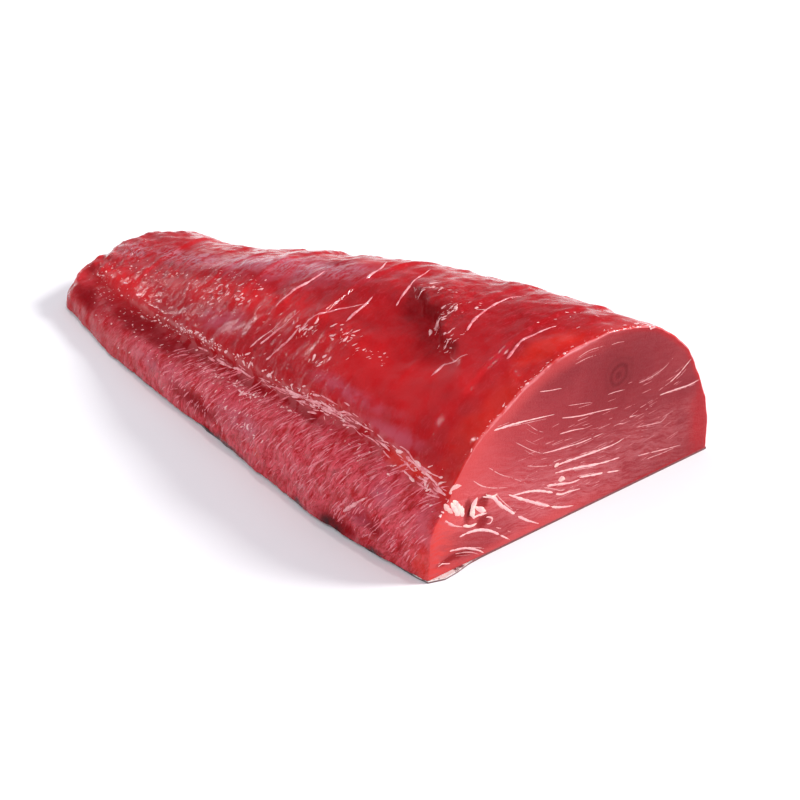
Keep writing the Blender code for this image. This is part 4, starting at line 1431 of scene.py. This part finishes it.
def outer_colour(shading, colours, blotches, grain, threads, cover):
    """The colour of the outer flesh, in layers over the red of the top muscle."""
    mask = shading.attribute
    flank, hollow, rim, height = mask("flank"), mask("hollow"), mask("rim"), mask("height")
    calm = shading.minus(1.0, mask("smooth"))
    turn = shading.parts(shading.attribute("dome_place", "Vector"))[1]

    colour = shading.layer(colours.red, colours.dark, 0.30, blotches)
    colour = shading.layer(colour, colours.bright, 0.90, mask("bright"))
    # Painted shade in the shaded places of the top
    colour = shading.layer(colour, colours.dark, 0.45, mask("shaded"))
    colour = shading.layer(colour, colours.rose, 0.22, shading.between(threads, 0.70, 1.0), calm)

    # The fibrous flank, paler where its relief stands out
    rosy = shading.plus(shading.times(threads, 0.75), shading.times(blotches, 0.40))
    colour = shading.layer(colour, colours.rose, 0.95, flank, shading.between(rosy, 0.15, 0.95))
    colour = shading.layer(colour, colours.tissue, 0.40, flank, shading.between(height, 0.62, 0.95))

    # Darker flesh, with painted shade in the seam's and the fold's hollows and in the low places of the fine
    # relief
    dark = shading.most(shading.times(mask("dark"), 0.85), shading.times(hollow, 0.60))
    sunk = shading.times(shading.between(height, 0.42, 0.15), 0.5)
    colour = shading.mix(shading.most(dark, sunk), colour, colours.dark)

    # The mauve film, partly painted sheen near the crest, the painted grey-lilac sheen along the crest, and
    # the pale seam
    colour = shading.layer(colour, colours.mauve, 0.45, mask("mauve"), shading.plus(0.4, cover))
    colour = shading.layer(colour, colours.film, 0.62, mask("film"), shading.between(threads, 0.25, 0.85))
    colour = shading.layer(colour, colours.tissue, 0.12, mask("seam"), shading.between(cover, 0.3, 1.0))

    # Thin orange flesh at the rim, painted shade in the deep crease and a painted highlight along the upper
    # edge of the cut
    thin = shading.most(shading.times(rim, 0.6), mask("orange"))
    colour = shading.layer(colour, colours.orange, 0.65, thin)
    colour = shading.layer(colour, colours.blood, 0.90, mask("crease"))
    # Painted highlight: a pale line along the cut's upper edge
    upper = shading.between(turn, 0.20, 0.30)
    colour = shading.layer(colour, colours.tissue, 0.40, shading.between(rim, 0.90, 0.99), cover, upper)
    colour = shading.layer(colour, colours.rose, 0.06, grain)
    return shading.layer(colour, colours.slate, 0.60, mask("slate"), shading.plus(0.5, cover))


def outer_flesh(colours):
    """Wet flesh of the dome: red top, rose flank, hollows in painted shade, mauve film, a grey-lilac painted
    sheen and slate places.
    """
    made, shading = new_material("wet_flesh")
    place = shading.object_place()
    mask = shading.attribute
    blotches, grain = shading.group("Flesh mottle", Place=place, Size=FLESH_MOTTLE)
    grain_place = {"Grain Place": shading.attribute("grain_place", "Vector")}
    threads = shading.group("Flesh fibres", **grain_place, **FLESH_THREADS)[0]
    cover, ripples = shading.group("Wet film", Place=place, Size=FLESH_FILM)

    dull = shading.most(mask("crease"), mask("dark"), mask("hollow"), shading.times(mask("shaded"), 0.75))
    open_film = shading.minus(1.0, shading.times(dull, 0.85))
    calm = shading.minus(1.0, mask("smooth"))
    drawn = shading.times(threads, shading.plus(0.02, shading.times(mask("flank"), 0.32)))
    rough = shading.plus(shading.times(mask("crinkled"), 0.7), shading.times(calm, 0.08))
    bumps = shading.plus(drawn, shading.times(ripples, rough), shading.times(grain, 0.02))
    normal = shading.bump(bumps, FLESH_BUMPS, 0.9)
    shading.surface({
        "Base Color": outer_colour(shading, colours, blotches, grain, threads, cover),
        "Roughness": shading.plus(0.34, shading.times(blotches, 0.12)),
        "Specular IOR Level": 0.0,
        "Subsurface Weight": 0.12,
        "Subsurface Radius": (1.0, 0.25, 0.2),
        "Subsurface Scale": 0.004,
        "Coat Weight": shading.times(shading.plus(0.35, shading.times(cover, 0.65)), open_film),
        "Coat Roughness": 0.055,
        "Coat IOR": MOISTURE_IOR,
        "Normal": normal,
        "Coat Normal": normal,
    })
    return made


def face_patch(shading, place, centre, reach, softness):
    """The mask of one ragged patch on the cut face."""
    inputs = {"Centre": (*centre, 0.0), "Reach": (*reach, 1.0), "Softness": softness}
    return shading.group("Soft patch", Place=place, **inputs)[0]


def cut_colour(shading, colours, flat, blotches, grain, threads):
    """The colour of the cut face at flat places on it, across and up, in layers over its middle rose."""
    inward = shading.attribute("inward")
    across, up = shading.parts(flat)[:2]
    strayed = shading.strayed(flat, FACE_BENDS, FACE_STRAY, 2.0)

    # Darker to the far side and the top, paler to the near side
    far = shading.between(shading.plus(across, shading.times(up, FACE_FAR_SLANT)), *FACE_FAR_BAND)
    high = shading.between(up, *FACE_HIGH_BAND)
    far = shading.most(shading.times(far, 0.85), shading.times(high, 0.85))
    near = shading.between(shading.minus(across, shading.times(up, FACE_NEAR_SLANT)), *FACE_NEAR_BAND)
    colour = shading.mix(far, colours.cut, colours.cut_dark)
    colour = shading.mix(near, colour, colours.cut_pale)
    colour = shading.layer(colour, colours.cut_pale, 0.14, blotches)

    # Pale threads, thickest in the middle
    streaked = face_patch(shading, strayed, *FACE_STREAKED)
    streaks = shading.times(threads, shading.plus(0.03, shading.times(streaked, 0.20)))
    colour = shading.mix(streaks, colour, colours.tissue)
    colour = shading.layer(colour, colours.tissue, 0.035, grain)

    # The dark spot in its rings, and the shaded places
    away = shading.vector("DISTANCE", strayed, FACE_SPOT)
    rings = shading.math("SINE", shading.times(away, 2 * math.pi / SPOT_RING))
    rings = shading.plus(0.60, shading.times(rings, 0.40))
    colour = shading.layer(colour, colours.spot, 0.30, shading.between(away, *SPOT_SHADE_BAND))
    colour = shading.layer(colour, colours.spot, 0.85, shading.between(away, *SPOT_RINGS_BAND), rings)
    shade = shading.most(*(face_patch(shading, strayed, *patch) for patch in FACE_SHADES))
    colour = shading.layer(colour, colours.cut_dark, 0.55, shade)

    # The pale near rim, the orange near corner and the red far rim
    near_rim = shading.between(across, *NEAR_RIM_BAND)
    pale_rim = shading.between(inward, *PALE_RIM_REACH)
    colour = shading.layer(colour, colours.cut_pale, 0.65, pale_rim, near_rim)
    corner = face_patch(shading, strayed, *FACE_CORNER)
    colour = shading.layer(colour, colours.orange, 0.45, corner, shading.between(threads, 0.15, 0.75))
    far_rim = shading.times(shading.between(inward, *FAR_RIM_REACH), shading.between(across, *FAR_RIM_BAND))
    far_red = face_patch(shading, strayed, *FACE_FAR_RED)
    colour = shading.layer(colour, colours.red, 0.55, shading.most(far_rim, far_red))

    # Painted shade in the pockets that hold the fat, and a painted highlight high on the near rim
    pocket_shade = shading.most(*(
        face_patch(shading, strayed, (y, z), (wide * POCKET_GROWTH, tall * POCKET_GROWTH), POCKET_SOFTNESS)
        for y, z, height, wide, tall in FACE_HOLLOWS
    ))
    colour = shading.layer(colour, colours.dark, 0.75, pocket_shade)
    rim_highlight = shading.times(shading.between(inward, *RIM_HIGHLIGHT_REACH), shading.between(up, *RIM_HIGHLIGHT_BAND))
    return shading.layer(colour, colours.tissue, 0.80, rim_highlight, near_rim, blotches)


def cut_flesh(colours):
    """The satin cut face: rose flesh, pale to its near side and dark to its far side, with a ringed spot."""
    made, shading = new_material("cut_flesh")
    place = shading.parts(shading.object_place())
    flat = shading.whole(place[1], place[2])
    blotches, grain = shading.group("Flesh mottle", Place=flat, Size=CUT_MOTTLE)
    turn = {"Vector": flat, "Rotation": (0.0, 0.0, CUT_THREADS_TURN)}
    turned = shading.parts(shading.node("ShaderNodeMapping", turn).outputs[0])
    grain_place = {"Grain Place": shading.whole(turned[1], turned[0])}
    threads = shading.group("Flesh fibres", **grain_place, **CUT_THREADS)[0]
    bumps = shading.plus(shading.times(grain, 0.12), shading.times(threads, 0.05))
    normal = shading.bump(bumps, CUT_BUMPS, 0.7)
    shading.surface({
        "Base Color": cut_colour(shading, colours, flat, blotches, grain, threads),
        "Roughness": shading.plus(0.40, shading.times(grain, 0.10)),
        "Specular IOR Level": 0.05,
        "Subsurface Weight": 0.15,
        "Subsurface Radius": (1.0, 0.3, 0.25),
        "Subsurface Scale": 0.004,
        "Coat Weight": 0.08,
        "Coat Roughness": 0.18,
        "Coat IOR": MOISTURE_IOR,
        "Normal": normal,
        "Coat Normal": normal,
    })
    return made


def tissue(name, pale, deep, coat, faint=None):
    """Wet connective tissue or fat, tinted by the flesh under it. Its weak lines take the faint colour."""
    made, shading = new_material(name)
    place = shading.object_place()
    blotches, grain = shading.group("Flesh mottle", Place=place, Size=TISSUE_MOTTLE)
    cover, ripples = shading.group("Wet film", Place=place, Size=TISSUE_FILM)
    colour = shading.mix(blotches, pale, deep)
    colour = shading.layer(colour, pale, 0.2, grain)
    if faint is not None:
        colour = shading.mix(shading.attribute("strength"), faint, colour)
    shading.surface({
        "Base Color": colour,
        "Roughness": shading.plus(0.22, shading.times(cover, 0.15)),
        "Coat Weight": coat,
        "Coat Roughness": 0.05,
        "Normal": shading.bump(ripples, TISSUE_BUMPS, 0.6),
    })
    return made


def skin_finish(colours):
    """Fish skin: silver at its torn tab, red-brown along the cut and slate with small scales elsewhere."""
    made, shading = new_material("silver_skin")
    place = shading.object_place()
    parts = shading.parts(place)
    blotches, grain = shading.group("Flesh mottle", Place=place, Size=SKIN_MOTTLE)
    tab = shading.group("Soft patch", Place=place, Centre=SKIN_TAB, Reach=SKIN_TAB_REACH, Softness=0.4)[0]
    upper = shading.between(parts[2], *SKIN_TAB_BAND)
    silver = shading.times(tab, upper, shading.between(blotches, 0.85, 0.45))
    scales = shading.node("ShaderNodeTexVoronoi", {"Vector": place, "Scale": SKIN_SCALES}).outputs["Distance"]
    colour = shading.mix(shading.between(scales, 0.2, 0.7), colours.slate, colours.scales)
    colour = shading.mix(shading.between(parts[0], *SKIN_EDGE_BAND), colour, colours.edge)
    colour = shading.mix(silver, colour, colours.silver)
    shading.surface({
        "Base Color": colour,
        "Roughness": shading.plus(0.25, shading.times(blotches, 0.2)),
        "Metallic": shading.times(silver, 0.3),
        "Specular IOR Level": 0.3,
        "Normal": shading.bump(shading.plus(scales, shading.times(grain, 0.3)), SKIN_BUMPS, 0.6),
    })
    return made


class LOIN_OT_flesh(bpy.types.Operator):
    """Build the detailed flesh in place of the plain solid"""

    bl_idname = "loin.flesh"
    bl_label = "Flesh"

    def execute(self, context):
        make_groups()
        colours = context.scene.loin_colours
        flesh = make_flesh(context.scene.loin_sizes.relief, (outer_flesh(colours), cut_flesh(colours)))
        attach(flesh, "root")
        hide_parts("flesh")
        return {"FINISHED"}


class LOIN_OT_strands(bpy.types.Operator):
    """Lay the seam's strands and the pale edges of the muscle segments on the flesh, the edges partly painted
    highlights
    """

    bl_idname = "loin.strands"
    bl_label = "Connective Strands"

    def execute(self, context):
        make_groups()
        colours = context.scene.loin_colours
        material = tissue("connective_tissue", colours.tissue, colours.rose, coat=0.8)
        strands = make_strands(context.scene.loin_sizes, material)
        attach(strands, "root")
        return {"FINISHED"}


class LOIN_OT_fibres(bpy.types.Operator):
    """Lay single pale fibres on the flank"""

    bl_idname = "loin.fibres"
    bl_label = "Flank Fibres"

    def execute(self, context):
        make_groups()
        colours = context.scene.loin_colours
        material = tissue("fibre_flesh", colours.fibre, colours.rose, coat=0.4)
        fibres = make_fibres(context.scene.loin_sizes, material)
        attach(fibres, "root")
        return {"FINISHED"}


class LOIN_OT_face_lines(bpy.types.Operator):
    """Draw the white connective lines of the cut face, with hairlines and faint dashes"""

    bl_idname = "loin.face_lines"
    bl_label = "Cut Face Lines"

    def execute(self, context):
        make_groups()
        colours = context.scene.loin_colours
        material = tissue("face_line_tissue", colours.line, colours.tissue, coat=0.3, faint=colours.faint)
        lines = make_face_lines(material)
        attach(lines, "root")
        return {"FINISHED"}


class LOIN_OT_fat(bpy.types.Operator):
    """Lay the fat in the cut face's near corner and at the ends of two lines"""

    bl_idname = "loin.fat"
    bl_label = "Fat"

    def execute(self, context):
        make_groups()
        colours = context.scene.loin_colours
        fat = make_fat(tissue("fat", colours.fat, colours.tissue, coat=0.5, faint=colours.faint))
        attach(fat, "root")
        return {"FINISHED"}


class LOIN_OT_flecks(bpy.types.Operator):
    """Scatter short pale flecks over the flesh in clusters, partly as painted sparkle highlights"""

    bl_idname = "loin.flecks"
    bl_label = "Pale Flecks"

    def execute(self, context):
        make_groups()
        colours = context.scene.loin_colours
        material = tissue("pale_flecks_and_sparkles", colours.fleck, colours.tissue, coat=1.0)
        flecks = make_flecks(context.scene.loin_sizes, material)
        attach(flecks, "root")
        return {"FINISHED"}


class LOIN_OT_skin(bpy.types.Operator):
    """Give the skin its slate finish, silver at the torn tab"""

    bl_idname = "loin.skin"
    bl_label = "Skin"

    def execute(self, context):
        make_groups()
        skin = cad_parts["skin"]
        skin.data.materials.clear()
        skin.data.materials.append(skin_finish(context.scene.loin_colours))
        return {"FINISHED"}


class LOIN_OT_stage(bpy.types.Operator):
    """Set the floor, the lights and the camera"""

    bl_idname = "loin.stage"
    bl_label = "Stage"

    def execute(self, context):
        stage = context.scene.loin_stage
        make_floor(stage.floor)
        make_light(stage)
        make_camera()
        context.scene.view_settings.view_transform = "Standard"
        return {"FINISHED"}


def make_floor(colour):
    """The plain pale floor under the piece."""
    half = FLOOR_SIZE / 2
    corners = [(-half, -half, 0), (half, -half, 0), (half, half, 0), (-half, half, 0)]
    made, shading = new_material("plain_floor")
    shading.surface({"Base Color": colour, "Roughness": FLOOR_ROUGHNESS})
    floor = mesh_object("floor", corners, [(0, 1, 2, 3)], [made])
    floor.location.z = SKIN_LOW.z - FLOOR_GAP


def far_light(name, way, strength, softness):
    """A soft light from far away."""
    light = bpy.data.lights.new(name, "SUN")
    light.energy = strength
    light.angle = softness
    made = bpy.data.objects.new(name, light)
    made.rotation_euler = Vector(way).to_track_quat("Z", "Y").to_euler()
    bpy.context.scene.collection.objects.link(made)


def box_light(name, place, size, power):
    """A square soft light that faces the piece."""
    light = bpy.data.lights.new(name, "AREA")
    light.size = size
    light.energy = power
    made = bpy.data.objects.new(name, light)
    made.location = place
    made.rotation_euler = made.location.to_track_quat("Z", "Y").to_euler()
    bpy.context.scene.collection.objects.link(made)


def make_light(stage):
    """A pale backdrop all round, a dimmer sky, light overhead, a main light, a fill light and sparks."""
    world = bpy.data.worlds.new("studio")
    bpy.context.scene.world = world
    world.use_nodes = True
    shading = Shading(world.node_tree)
    way = shading.node("ShaderNodeTexCoord").outputs["Generated"]
    height = shading.parts(way)[2]
    low = shading.times(shading.between(height, *HORIZON_BAND), stage.horizon - stage.middle)
    high = shading.times(shading.between(height, *ZENITH_BAND), stage.zenith - stage.middle)
    strength = shading.plus(stage.middle, low, high)
    sky = shading.node("ShaderNodeBackground", {"Color": SKY_COLOUR, "Strength": strength})
    shading.node("ShaderNodeOutputWorld", {"Surface": sky.outputs[0]})
    far_light("main_light", SUN_WAY, stage.sun, stage.sun_softness)
    far_light("fill_light", FILL_WAY, stage.fill, FILL_SOFTNESS)
    for index, (way, share) in enumerate(SPARKS):
        place = Vector(way).normalized() * SPARK_FAR
        box_light(f"spark_light_{index}", place, SPARK_SIZE, stage.spark * share)


def make_camera():
    """The camera at the photograph's viewing angle."""
    camera = bpy.data.cameras.new("camera")
    camera.lens = CAMERA_LENS
    camera.sensor_width = CAMERA_SENSOR
    camera.clip_start = CAMERA_NEAREST
    camera_object = bpy.data.objects.new("camera", camera)
    camera_object.location = CAMERA_PLACE
    camera_object.rotation_euler = Euler([math.radians(angle) for angle in CAMERA_TURN])
    bpy.context.scene.collection.objects.link(camera_object)
    bpy.context.scene.camera = camera_object


class LOIN_PT_panel(bpy.types.Panel):
    """Sizes, colours and steps of the loin"""

    bl_idname = "LOIN_PT_panel"
    bl_label = "Tuna Loin"
    bl_space_type = "VIEW_3D"
    bl_region_type = "UI"
    bl_category = "Tuna Loin"

    def draw(self, context):
        for group in (context.scene.loin_sizes, context.scene.loin_colours, context.scene.loin_stage):
            box = self.layout.box()
            for name in group.__annotations__:
                box.prop(group, name)
        for operator in OPERATORS:
            self.layout.operator(operator.bl_idname)


OPERATORS = (
    LOIN_OT_flesh, LOIN_OT_strands, LOIN_OT_fibres, LOIN_OT_face_lines, LOIN_OT_fat, LOIN_OT_flecks,
    LOIN_OT_skin, LOIN_OT_stage,
)
CLASSES = (LoinSizes, LoinColours, LoinStage, *OPERATORS, LOIN_PT_panel)


def register():
    for made in CLASSES:
        bpy.utils.register_class(made)
    bpy.types.Scene.loin_sizes = PointerProperty(type=LoinSizes)
    bpy.types.Scene.loin_colours = PointerProperty(type=LoinColours)
    bpy.types.Scene.loin_stage = PointerProperty(type=LoinStage)


def unregister():
    del bpy.types.Scene.loin_sizes
    del bpy.types.Scene.loin_colours
    del bpy.types.Scene.loin_stage
    for made in reversed(CLASSES):
        bpy.utils.unregister_class(made)


def main():
    """Builds every piece in order."""
    register()
    bpy.ops.loin.flesh()
    bpy.ops.loin.strands()
    bpy.ops.loin.fibres()
    bpy.ops.loin.face_lines()
    bpy.ops.loin.fat()
    bpy.ops.loin.flecks()
    bpy.ops.loin.skin()
    bpy.ops.loin.stage()


if __name__ == "__main__":
    main()
